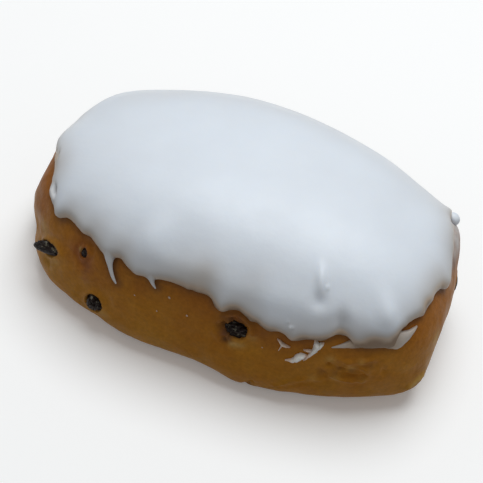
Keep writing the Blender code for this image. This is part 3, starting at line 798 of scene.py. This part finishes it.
def near_forms(band, least_reach):
    """Extra places round the small forms of the coat."""
    rows = []
    for degrees, height, half_length, half_width, turn, lift in ICING_FORMS:
        if half_width > SMALL_FORM:
            continue
        reach = NEAR_FORM_REACH * max(half_length, half_width) * MM
        sideways, upwards = currant_frame(degrees, height, 0, 0)[2][:2]
        steps = np.arange(-reach, reach, FINE_COAT_STEP)
        across, up = [grid.ravel() for grid in np.meshgrid(steps, steps)]
        kept = across**2 + up**2 < reach**2
        directions = upwards * up[kept][:, None] + sideways * across[kept][:, None]
        angle = np.full(len(directions), math.radians(degrees))
        level = np.full(len(directions), float(level_at(height * MM)))
        rows.append(np.stack(moved_in(angle, level, directions, 1.0), axis=-1))
    places = np.concatenate(rows)
    places = places[sampled(band, "reach", *places.T) > least_reach]
    cells = np.round(places / NEAR_FORM_CELLS).astype(int)
    return places[np.unique(cells, axis=0, return_index=True)[1]]


def triangulated(loops, inner):
    """Places and outward triangles that fill the loops, through these inner places."""
    places = np.concatenate(loops + [inner])
    flat = flat_places(places[:, 0], places[:, 1]) / MM
    outlines, first = [], 0
    for loop in loops:
        outlines.append(list(range(first, first + len(loop))))
        first += len(loop)
    rows = [Vector(row) for row in flat.tolist()]
    made = geometry.delaunay_2d_cdt(rows, [], outlines, 1, 1e-5)
    origin = [sources[0] if sources else -1 for sources in made[3]]
    faces = [tuple(origin[corner] for corner in face) for face in made[2]]
    faces = [face for face in faces if -1 not in face and len(set(face)) == 3]
    return places, faces


def form_lift(points):
    """The ridges, hollows and beads of the coat, and its slow unevenness."""
    lift = bumps(points, COAT_BUMPS)
    for degrees, height, half_length, half_width, turn, push in ICING_FORMS:
        place, normal, axes = currant_frame(degrees, height, 0, 0)
        sideways, upwards = axes[:2]
        turn = math.radians(turn)
        long_way = math.cos(turn) * upwards - math.sin(turn) * sideways
        wide_way = math.cos(turn) * sideways + math.sin(turn) * upwards
        along = (points - place) @ long_way / (half_length * MM)
        across = (points - place) @ wide_way / (half_width * MM)
        lift += push * MM * np.exp(-(along**2) - across**2)
    return lift


def coat_outside(band, loops, count):
    """The coat's outer face, which rolls over at the edge, and how thin the icing is at its points, with
    painted shade added into that share.
    """
    inner = [edge_rows(band, loop, EDGE_ROWS) for loop in loops]
    inner += [coat_grid(band, COAT_STEP, COAT_INSET), near_forms(band, COAT_INSET)]
    places, faces = triangulated(loops, np.concatenate(inner))
    reach = np.maximum(sampled(band, "reach", *places.T), 0)
    reach[:count] = 0
    thickness = sampled(band, "thickness", *places.T)
    swell = soft_step(sampled(band, "swell", *places.T) / COAT_SWELL)
    roll = np.clip(reach / (EDGE_ROLL * thickness / EDGE_THICKNESS), 0, 1)
    slope = 1 - (1 - roll) ** 2
    rounded = NOSE_SHARE + (1 - NOSE_SHARE) * (EDGE_CIRCLE * np.sqrt(slope) + (1 - EDGE_CIRCLE) * slope)
    crust_points = skin(*places.T)
    lift = ICING_GAP + thickness * rounded + (ICING_THICKNESS - EDGE_THICKNESS) * swell
    lift += form_lift(crust_points) * soft_step(reach / FORM_FADE)
    # Thin icing near the edge plus painted shade: the wide edge term, the shaded places and the far shoulder
    # darken the coat as shade
    edge = sum(strength * np.exp(-((reach / fading) ** 2)) for strength, fading in EDGE_THINNESS_AND_SHADE)
    edge *= 1 - DRIP_WHITENESS * sampled(band, "drip", *places.T)
    shoulder = [(*place, *SHOULDER_SHADE) for place in SHADED_SHOULDER]
    thinness = edge + spots(crust_points, THIN_AND_SHADED_PLACES) + spots(crust_points, shoulder)
    return faces, skin(*places.T, lift), thinness


def coat_inside(band, loops, count):
    """The coat's inner face just off the crust, without the points of the edge that both faces share."""
    inner = [edge_rows(band, loop, FOOT_ROWS) for loop in loops]
    inner.append(coat_grid(band, UNDERSIDE_STEP, UNDERSIDE_INSET))
    places, faces = triangulated(loops, np.concatenate(inner))
    inside = places[count:].T
    depth = np.clip(sampled(band, "reach", *inside) / FOOT_REACH, 0, 1)
    hang = sampled(band, "thickness", *inside) * NOSE_SHARE
    return faces, skin(*inside, ICING_GAP + hang * (1 - np.sqrt(1 - (1 - depth) ** 2)))


def make_icing(band, material):
    """The coat: an outer and an inner face that meet along the edge."""
    loops = edge_loops(band)
    count = sum(len(loop) for loop in loops)
    faces, outer, thinness = coat_outside(band, loops, count)
    inner_faces, inner = coat_inside(band, loops, count)
    shift = len(outer) - count
    for face in inner_faces:
        faces.append(tuple(corner if corner < count else corner + shift for corner in face[::-1]))
    piece = mesh_piece("icing_coat", np.concatenate([outer, inner]), faces, material)
    add_thinness(piece, np.concatenate([thinness, np.zeros(len(inner))]))
    return piece


def make_flap(material):
    """The thin torn flap of icing that lies on the crust and comes out from under the coat."""
    rows = np.asarray(TORN_FLAP)
    degrees = np.linspace(rows[0, 0], rows[-1, 0], FLAP_COLUMNS)
    low, high, thickness = smooth_through(rows, degrees).T
    low = low + bumps(on_crust(degrees, low), FLAP_WAVE) * soft_step((high - low) / 2)
    rings = []
    for turn in np.linspace(0, TAU, 2 * FLAP_ROWS, endpoint=False):
        part = 0.5 - 0.5 * math.cos(turn)
        side = np.sign(math.sin(turn)) * abs(math.sin(turn)) ** FLAP_SQUARENESS
        lift = thickness * MM * side if side > 0 else np.full(FLAP_COLUMNS, FLAP_SINK * side)
        rings.append(on_crust(degrees, low + (high - low) * part, lift))
    rings = np.stack(rings, axis=1)[:, ::-1]
    uneven = bumps(rings.reshape(-1, 3), FLAP_BUMPS).reshape(rings.shape[:2])
    rings = rings + skin_normal(np.radians(degrees), level_at(high * MM))[:, None] * uneven[..., None]
    points, faces = closed_loft(rings[1:-1], rings[0].mean(axis=0), rings[-1].mean(axis=0))
    piece = mesh_piece("icing_flap", points, faces, material)
    along = smooth_through(FLAP_THINNESS, degrees[1:-1])[:, 0]
    add_thinness(piece, np.concatenate([np.repeat(along, 2 * FLAP_ROWS), along[[0, -1]]]))
    return piece


def add_thinness(piece, thinness):
    """Notes on each point of a piece how much of the crust shows through the icing; on the coat this share
    also holds painted shade.
    """
    layer = piece.data.attributes.new("thinness", "FLOAT", "POINT")
    layer.data.foreach_set("value", np.clip(thinness, 0, 1).astype(np.float32))


def make_drop(material):
    """The bead of icing that stands out at the blunt end."""
    degrees, height, radius, out = END_DROP
    place, normal, axes = currant_frame(degrees, height, 0, 0)
    turns = np.linspace(0, TAU, DROP_COLUMNS, endpoint=False)
    rows = []
    for slope in np.linspace(0, math.pi, DROP_RINGS + 2)[1:-1]:
        around = math.sin(slope) * (np.cos(turns)[:, None] * axes[0] + np.sin(turns)[:, None] * axes[1])
        rows.append(around - math.cos(slope) * normal)
    sphere = np.array(rows)
    neck = 1 - 0.25 * soft_step((-(sphere @ normal) + 0.2) / 1.2)
    shape = place + normal * out * MM + sphere * neck[..., None] * radius * MM
    low, high = [place + normal * (out + way * radius) * MM for way in (-1, 1)]
    points, faces = closed_loft(shape, low, high)
    points = points + normal * bumps(points, DROP_BUMPS)[:, None]
    return mesh_piece("icing_drop", points, faces, material)


# The crust

def crust_angles():
    """Angles of the crust's columns, closer together on the long side with the currants."""
    angles = np.linspace(0, TAU, CRUST_FINE_ANGLES)
    points = np.stack(outline(angles), axis=-1)
    weights = np.linalg.norm(np.gradient(points, angles, axis=0), axis=-1)
    weights = weights / weights.mean()
    middle, reach, extra = FINE_STRETCH
    weights = weights + extra * np.exp(-(((np.degrees(angles) - middle) / reach) ** 2))
    return spaced(angles, weights, CRUST_COLUMNS, closed=True)


def crust_levels():
    """Levels of the crust's rings, close together where the crust shows."""
    top = float(level_at(CRUST_SHOWS_TO))
    base = np.linspace(0, FLAT_LEVEL, CRUST_BASE_RINGS, endpoint=False)[1:]
    levels = np.linspace(FLAT_LEVEL, top, CRUST_FINE_LEVELS)
    length = side_run(levels)
    shown = np.interp(np.arange(0, length[-1], CRUST_RING_STEP), length, levels)
    hidden = np.linspace(top, 1, CRUST_HIDDEN_RINGS + 1)[1:-1]
    return np.concatenate([base, shown, hidden])


def distance_to_path(points, path):
    """How far points are from a smooth path over the crust, or 1 m where they are nowhere near it."""
    line = on_crust(*through(path, 12 * len(path)))
    away = np.full(len(points), 1.0)
    near = length_of(points - line.mean(axis=0)) < PATH_REACH
    away[near] = length_of(points[near][:, None] - line).min(axis=1)
    return away


def near_place(points, degrees, height, reach):
    """1 at a place on the crust, falling softly to 0 over the reach."""
    return np.exp(-((length_of(points - on_crust(degrees, height)) / (reach * MM)) ** 2))


def spots(points, rows):
    """The sum of soft spots, given by their angle, height, reach and strength."""
    return sum(strength * near_place(points, *place) for *place, strength in rows)


def strongest(points, rows, least):
    """The strongest of the soft spots at each point, and no less than it has already."""
    for *place, strength in rows:
        least = np.maximum(least, strength * near_place(points, *place))
    return least


def currant_shape(values):
    """The middle of a currant, its axes and its radii."""
    degrees, height, length, width, turn, lift, sunk = values
    place, normal, axes = currant_frame(degrees, height, turn, lift)
    radii = np.array([length / 2, width / 2, CURRANT_DEPTH_SHARE * width]) * MM
    return place - normal * sunk * MM, axes, radii


def currant_pits(points, normals):
    """How far the crust is pushed in under each currant, and out in a soft rim round it."""
    push = np.zeros(len(points))
    for values in CURRANTS:
        middle, axes, radii = currant_shape(values)
        near = length_of(points - middle) < 3 * radii[0]
        local = (points[near] - middle) @ axes.T / (radii + CURRANT_CLEARANCE)
        inwards = -normals[near] @ axes.T / (radii + CURRANT_CLEARANCE)
        square, mixed = np.sum(inwards**2, axis=-1), np.sum(local * inwards, axis=-1)
        outside = np.sum(local**2, axis=-1) - 1
        depth = (-mixed + np.sqrt(np.maximum(mixed**2 - square * outside, 0))) / square
        away = np.sqrt(outside + 1)
        rim = sum(out * MM * np.exp(-(((away - place) / width) ** 2)) for place, width, out in PIT_RIMS)
        push[near] += np.where(outside < 0, -depth, rim)
    return push


def crust_push(even, normals, reach, level):
    """How far the crust is pushed out by bumps and folds where it is bare, and in by the currants."""
    bare = 1 - soft_step(0.5 + reach / BARE_FADE)
    folds = np.zeros(len(even))
    for path, width, amount in CRUST_FOLDS:
        folds += amount * MM * np.exp(-((distance_to_path(even, path) / (width * MM)) ** 2))
    folds *= 0.5 + soft_step(0.5 + bumps(even, FOLD_BREAKS))
    standing = soft_step(standing_share(level))
    return (bumps(even, CRUST_BUMPS) + folds) * bare * standing + currant_pits(even, normals)


def crust_tints_and_shade(even, reach):
    """The share of glaze at each point of the crust, and its red tints, its pale tints with painted
    highlights, and its painted shade as one colour.
    """
    # Painted shade: the crust is darkened beside the icing's edge, in the painted shade spots and round each
    # currant
    shade = EDGE_SHADE * np.exp(-((np.maximum(-reach, 0) / EDGE_SHADE_REACH) ** 2))
    shade = strongest(even, PAINTED_SHADE_SPOTS, shade)
    for values in CURRANTS:
        middle, axes, radii = currant_shape(values)
        away = length_of((even - middle) @ axes.T / radii)
        away = np.maximum(away - CURRANT_SHADE_FROM, 0) / CURRANT_SHADE_FADE
        shade = np.maximum(shade, CURRANT_SHADE * np.exp(-(away**2)))
    glaze = strongest(even, GLAZE_TINTS, np.zeros(len(even)))
    shade *= 1 - GLAZE_COVER * glaze
    tints_and_shade = np.stack([spots(even, RED_TINTS), spots(even, PALE_TINTS_AND_HIGHLIGHTS), shade, np.ones(len(even))], axis=-1)
    return glaze, np.clip(tints_and_shade, 0, 1)


def make_crust(band, material):
    """The bun's body with a pit for each currant, the folds round them and the tints of its baking, with
    painted shade and painted highlights among them.
    """
    levels = crust_levels()
    angle, level = [grid.ravel() for grid in np.meshgrid(crust_angles(), levels)]
    even = skin(angle, level)
    reach = np.where(level > band["levels"][0], sampled(band, "reach", angle, level), NO_COAT)
    rings = skin(angle, level, crust_push(even, skin_normal(angle, level), reach, level))
    bottom, top = skin(np.zeros(2), np.array([0.0, 1.0]))
    points, faces = closed_loft(rings.reshape(len(levels), CRUST_COLUMNS, 3), bottom, top)
    piece = mesh_piece("baked_crust", points, faces, material)
    glaze, tints_and_shade = crust_tints_and_shade(even, reach)
    add_thinness(piece, np.concatenate([glaze, [0, 0]]))
    tints_and_shade = np.concatenate([tints_and_shade, [[0, 0, 0, 1], [0, 0, 0, 1]]])
    layer = piece.data.color_attributes.new("tints_and_shade", "FLOAT_COLOR", "POINT")
    layer.data.foreach_set("color", tints_and_shade.ravel())
    return piece


# Currants and crumbs

def make_currant(number, values, material):
    """A wrinkled dried currant, with folds that run along it."""
    middle, axes, radii = currant_shape(values)
    turns = np.linspace(0, TAU, CURRANT_COLUMNS, endpoint=False)
    rings = []
    for slope in np.linspace(0, math.pi, CURRANT_RINGS + 2)[1:-1]:
        ridge = 1 + CURRANT_WRINKLE * np.cos(4 * turns + number)
        ridge += 0.6 * CURRANT_WRINKLE * np.cos(3 * slope + turns + number)
        long_way = np.full(CURRANT_COLUMNS, math.cos(slope))
        wide_way = math.sin(slope) * np.cos(turns) * ridge
        short_way = math.sin(slope) * np.sin(turns) * ridge
        rings.append(np.stack([long_way, wide_way, short_way], axis=-1))
    local = np.array(rings).reshape(-1, 3)
    folds = []
    for long_way, wide_way, short_way in local.tolist():
        place = Vector((long_way * 1.1, wide_way, short_way)) * 1.1 + Vector((number * 9.1, 0, 0))
        stretched = (long_way * 1.43 + noise.noise(place), wide_way * 3.2, short_way * 3.2 + number * 5.7)
        folds.append(noise.noise(Vector(stretched)))
    crease = -CREASE_DEPTH * np.maximum(CREASE_WIDTH - np.abs(folds), 0) / CREASE_WIDTH
    fine = bumps(local * 2.2 * MM, ((0.9, 45, 41 + number),))
    points = middle + local * (1 + crease + fine + CURRANT_SWELL)[:, None] * radii @ axes
    ends = axes[0] * radii[0] * 0.97
    rings = points.reshape(CURRANT_RINGS, CURRANT_COLUMNS, 3)
    points, faces = closed_loft(rings, middle + ends, middle - ends)
    return mesh_piece(f"currant_{number + 1:02d}_fruit", points, faces, material)


def strip_body(stations, lift, seed, first):
    """Points, faces and thinness of a crumb: a lumpy strip with a domed back and round ends."""
    degrees, height, half_width, thickness = through(stations, STRIP_STEPS)
    middle = on_crust(degrees, height, lift)
    normal = skin_normal(np.radians(degrees), level_at(height * MM))
    side = unit(np.cross(normal, np.gradient(middle, axis=0)))
    rings = []
    for turn in np.linspace(0, TAU, STRIP_SIDES, endpoint=False):
        flat = STRIP_BELLY if math.sin(turn) < 0 else 1.0
        across = side * (half_width * MM * math.cos(turn))[:, None]
        out = normal * (thickness * MM * flat * math.sin(turn))[:, None]
        rings.append(across + out)
    around = np.stack(rings, axis=1)
    rows = [(*row, seed + number) for number, row in enumerate(STRIP_BUMPS)]
    uneven = bumps((around + middle[:, None]).reshape(-1, 3), rows)
    around = around * (1 + uneven.reshape(around.shape[:2]))[..., None]
    points, faces = closed_loft(middle[:, None] + around, middle[0], middle[-1], first)
    thinness = CRUMB_THINNESS * (1 - soft_step((half_width - CRUMB_THIN_WIDTH) / CRUMB_WIDTH_FADE))
    return points, faces, np.concatenate([np.repeat(thinness, STRIP_SIDES), [CRUMB_THINNESS] * 2])


def speck_stations(degrees, height, radius):
    """A speck as a short strip."""
    return (
        (degrees - 0.7 * radius, height + 0.5 * radius, 0.3 * radius, 0.3 * radius),
        (degrees, height, radius, 0.7 * radius),
        (degrees + 1.1 * radius, height - 0.7 * radius, 0.3 * radius, 0.3 * radius),
    )


def make_crumbs(material):
    """The crumbs of icing that cling to the crust under the torn edge, and a few specks."""
    crumbs = (*STAR_ARMS, BLOB, SHARD, *SHARD_BRANCHES)
    strips = [(stations, -CRUMB_SINK, 51 + number) for number, stations in enumerate(crumbs)]
    strips += [(speck_stations(*speck), 0.0, 71 + number) for number, speck in enumerate(SPECKS)]
    points, faces, thinness = [], [], []
    for number, (stations, lift, seed) in enumerate(strips):
        rows, quads, thin = strip_body(stations, lift, seed, sum(len(row) for row in points))
        points.append(rows)
        faces.extend(quads)
        thinness.append(thin if number < len(crumbs) else np.full(len(rows), SPECK_THINNESS))
    piece = mesh_piece("icing_crumbs", np.concatenate(points), faces, material)
    add_thinness(piece, np.concatenate(thinness))
    return piece


# Materials

class Nodes:
    """A short way to write a material's nodes."""

    def __init__(self, name):
        self.material = bpy.data.materials.new(name)
        self.material.use_nodes = True
        self.tree = self.material.node_tree
        self.shader = self.tree.nodes["Principled BSDF"]

    def put(self, socket, value):
        """Links a socket to another, or sets it to a number or a colour."""
        if isinstance(value, bpy.types.NodeSocket):
            self.tree.links.new(value, socket)
        else:
            socket.default_value = (*value, 1) if socket.type == "RGBA" else value

    def join(self, node, **inputs):
        """Links or sets a node's inputs by name."""
        for key, value in inputs.items():
            self.put(node.inputs[key.replace("_", " ")], value)

    def add(self, kind, settings=(), **inputs):
        """A node with these settings and inputs."""
        node = self.tree.nodes.new("ShaderNode" + kind)
        for key, value in dict(settings).items():
            setattr(node, key, value)
        self.join(node, **inputs)
        return node

    def noise(self, size, detail=2.0, roughness=0.5):
        """Noise from 0 to 1 with bumps of this size in millimetres."""
        place = self.add("TexCoord").outputs["Object"]
        made = self.add("TexNoise", Vector=place, Scale=1 / (size * MM), Detail=detail, Roughness=roughness)
        return made.outputs["Fac"]

    def attribute(self, name, output="Fac"):
        """What a piece notes on its points."""
        return self.add("Attribute", {"attribute_name": name}).outputs[output]

    def ramp(self, value, low, high, first=0.0, last=1.0):
        """A value spread from one range to another, and held beyond it."""
        made = self.add("MapRange", Value=value, From_Min=low, From_Max=high, To_Min=first, To_Max=last)
        return made.outputs["Result"]

    def times(self, first, second):
        """Two values multiplied."""
        made = self.add("Math", {"operation": "MULTIPLY"})
        self.put(made.inputs[0], first)
        self.put(made.inputs[1], second)
        return made.outputs[0]

    def blend(self, share, first, second, way="MIX"):
        """One colour mixed into another by a share."""
        made = self.add("Mix", {"data_type": "RGBA", "blend_type": way}, Factor=share)
        sockets = [socket for socket in made.inputs if socket.type == "RGBA"]
        for socket, colour in zip(sockets, (first, second)):
            self.put(socket, colour)
        return next(socket for socket in made.outputs if socket.type == "RGBA")

    def bump(self, height, distance, strength, **onto):
        """Relief of this height in metres, on its own or onto another's Normal."""
        made = self.add("Bump", Height=height, Distance=distance, Strength=strength, **onto)
        return made.outputs["Normal"]


def crust_material():
    """Baked crust: golden brown with darker mottling, redder by the icing and olive towards the base, with
    painted shade beside the icing and round the currants and painted highlights on some ridges.
    """
    nodes = Nodes("baked crust")
    red, pale_and_highlight, shade = nodes.add("SeparateColor", Color=nodes.attribute("tints_and_shade", "Color")).outputs[:3]
    place = nodes.add("TexCoord").outputs["Object"]
    height = nodes.add("SeparateXYZ", Vector=place).outputs["Z"]
    low = nodes.times(nodes.ramp(height, 0.016, 0.004), nodes.ramp(nodes.noise(9, 2), 0.35, 0.6))
    colour = nodes.blend(nodes.ramp(nodes.noise(16, 3), 0.38, 0.66), GOLD, BROWN)
    colour = nodes.blend(nodes.times(low, 0.75), colour, OLIVE)
    colour = nodes.blend(nodes.times(nodes.ramp(height, 0.018, 0.030), 0.55), colour, RED_BROWN)
    colour = nodes.blend(nodes.times(red, 0.85), colour, RED_BROWN)
    # Pale baked crust and painted highlights on the ridges of the folds and the lips near the base
    colour = nodes.blend(nodes.times(pale_and_highlight, 0.75), colour, PALE_CRUST_AND_HIGHLIGHT)
    colour = nodes.blend(nodes.ramp(height, 0.0035, 0.0003), colour, BASE_BROWN)
    colour = nodes.blend(nodes.times(nodes.attribute("thinness"), 0.92), colour, GLAZE_GREY)
    speckle = nodes.ramp(nodes.noise(1.1, 3, 0.6), 0.30, 0.72, 0.86, 1.12)
    grey = nodes.add("CombineColor", Red=speckle, Green=speckle, Blue=speckle).outputs[0]
    colour = nodes.blend(1.0, colour, grey, "MULTIPLY")
    # Painted shade: the crust is blended towards a dark brown where the shade share is high
    colour = nodes.blend(nodes.times(shade, 0.9), colour, PAINTED_SHADE_BROWN)
    relief = nodes.bump(nodes.noise(2.4, 3), 0.00020, 0.8)
    relief = nodes.bump(nodes.noise(0.5, 4, 0.65), 0.00006, 0.7, Normal=relief)
    roughness = nodes.ramp(nodes.noise(4, 2), 0.3, 0.7, 0.42, 0.58)
    nodes.join(nodes.shader, Base_Color=colour, Roughness=roughness, Normal=relief, Specular_IOR_Level=0.12)
    return nodes.material


def icing_material(name, white, shaded, thin):
    """Set white icing with a soft gloss and a little light let through."""
    nodes = Nodes(name)
    thinness = nodes.attribute("thinness")
    colour = nodes.blend(nodes.ramp(nodes.noise(18, 2), 0.35, 0.7, 0.0, 0.08), white, shaded)
    # Up to a thinness of 0.5 the icing turns to the shaded colour as painted shade; above that the crust
    # shows through
    for low, high, tone in ((0.0, 0.5, shaded), (0.5, 0.75, thin), (0.75, 1.0, DEEP_ICING)):
        colour = nodes.blend(nodes.ramp(thinness, low, high), colour, tone)
    relief = nodes.bump(nodes.noise(5, 2), 0.00016, 0.6)
    relief = nodes.bump(nodes.noise(0.7, 3), 0.00003, 0.5, Normal=relief)
    roughness = nodes.ramp(nodes.noise(6, 2), 0.3, 0.7, 0.32, 0.44)
    nodes.join(nodes.shader, Base_Color=colour, Roughness=roughness, Normal=relief, Specular_IOR_Level=0.3)
    nodes.join(nodes.shader, Coat_Weight=0.06, Coat_Roughness=0.2)
    nodes.join(nodes.shader, Subsurface_Weight=0.25, Subsurface_Scale=0.0015)
    nodes.join(nodes.shader, Subsurface_Radius=(1.0, 0.9, 0.8))
    return nodes.material


def currant_material():
    """Dried fruit: nearly black and a little glossy, with a grey-green bloom on its ridges."""
    nodes = Nodes("dried currant")
    bloom = nodes.ramp(nodes.noise(1.4, 3, 0.6), 0.56, 0.72)
    colour = nodes.blend(nodes.times(bloom, 0.75), CURRANT_DARK, CURRANT_GREY)
    roughness = nodes.ramp(bloom, 0, 1, 0.38, 0.6)
    relief = nodes.bump(nodes.noise(0.35, 3, 0.6), 0.00008, 0.8)
    nodes.join(nodes.shader, Base_Color=colour, Roughness=roughness, Normal=relief, Specular_IOR_Level=0.12)
    return nodes.material


def floor_material():
    """A pale floor that glows a little, so that it stays white at the picture's edges."""
    nodes = Nodes("pale floor")
    nodes.join(nodes.shader, Base_Color=FLOOR_WHITE, Roughness=0.9, Specular_IOR_Level=0.1)
    nodes.join(nodes.shader, Emission_Color=(1, 1, 1), Emission_Strength=FLOOR_GLOW)
    return nodes.material


# Floor, light and camera

def in_scene(name, data):
    """An object in the scene for a mesh, a light or a camera."""
    made = bpy.data.objects.new(name, data)
    bpy.context.scene.collection.objects.link(made)
    return made


def add_floor(material):
    bpy.ops.mesh.primitive_plane_add(size=FLOOR_SIZE, location=(0, 0, FLOOR_LEVEL))
    floor = bpy.context.object
    floor.name = "floor"
    floor.data.materials.append(material)
    floor.visible_diffuse = False


def add_lights():
    """Two soft disks of light in a pale studio."""
    for name, (place, size, power, colour) in LIGHTS.items():
        light = bpy.data.lights.new(name, "AREA")
        light.shape = "DISK"
        light.size = size
        light.energy = power
        light.color = colour
        lamp = in_scene(name, light)
        lamp.location = place
        lamp.rotation_euler = (Vector(LIGHT_TARGET) - Vector(place)).to_track_quat("-Z", "Y").to_euler()
    world = bpy.data.worlds.new("studio")
    world.use_nodes = True
    world.node_tree.nodes["Background"].inputs["Color"].default_value = (*STUDIO_COLOUR, 1)
    world.node_tree.nodes["Background"].inputs["Strength"].default_value = STUDIO_STRENGTH
    bpy.context.scene.world = world
    bpy.context.scene.view_settings.view_transform = "Standard"


def add_camera():
    """The camera at the photograph's angle."""
    down, yaw, roll = [math.radians(value) for value in (CAMERA_DEPRESSION, CAMERA_YAW, CAMERA_ROLL)]
    forward = Vector((math.sin(yaw) * math.cos(down), math.cos(yaw) * math.cos(down), -math.sin(down)))
    level_right = Vector((math.cos(yaw), -math.sin(yaw), 0))
    level_up = level_right.cross(forward)
    right = math.cos(roll) * level_right + math.sin(roll) * level_up
    up = math.cos(roll) * level_up - math.sin(roll) * level_right
    place = Vector(CAMERA_TARGET) - CAMERA_DISTANCE * forward
    camera = bpy.data.cameras.new("camera")
    camera.sensor_width = SENSOR
    camera.lens = FOCAL_PIXELS / IMAGE_SIZE * SENSOR
    camera.clip_start = 0.01
    holder = in_scene("camera", camera)
    rows = [[right[i], up[i], -forward[i], place[i]] for i in range(3)]
    holder.matrix_world = Matrix(rows + [[0, 0, 0, 1]])
    bpy.context.scene.camera = holder


def dress(piece, slot, *nodes):
    """Fixes a piece to the bun as the stand-in for these solids."""
    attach(piece, "root")
    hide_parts(*nodes)


def main():
    add_camera()
    add_lights()
    add_floor(floor_material())
    band = make_band()
    icing = icing_material("white icing", ICING_WHITE, SHADED_ICING, THIN_ICING)
    crumbs = icing_material("crumbled icing", CRUMB_WHITE, CRUMB_WHITE, CRUMB_THIN)
    dress(make_crust(band, crust_material()), "crust", "bun")
    dress(make_icing(band, icing), "icing", "icing")
    dress(make_flap(icing), "icing", "icing")
    dress(make_drop(icing), "icing", "icing")
    dress(make_crumbs(crumbs), "icing", "bun")
    currant = currant_material()
    for number, values in enumerate(CURRANTS):
        dress(make_currant(number, values, currant), "currant", f"currant_{number + 1:02d}")


main()
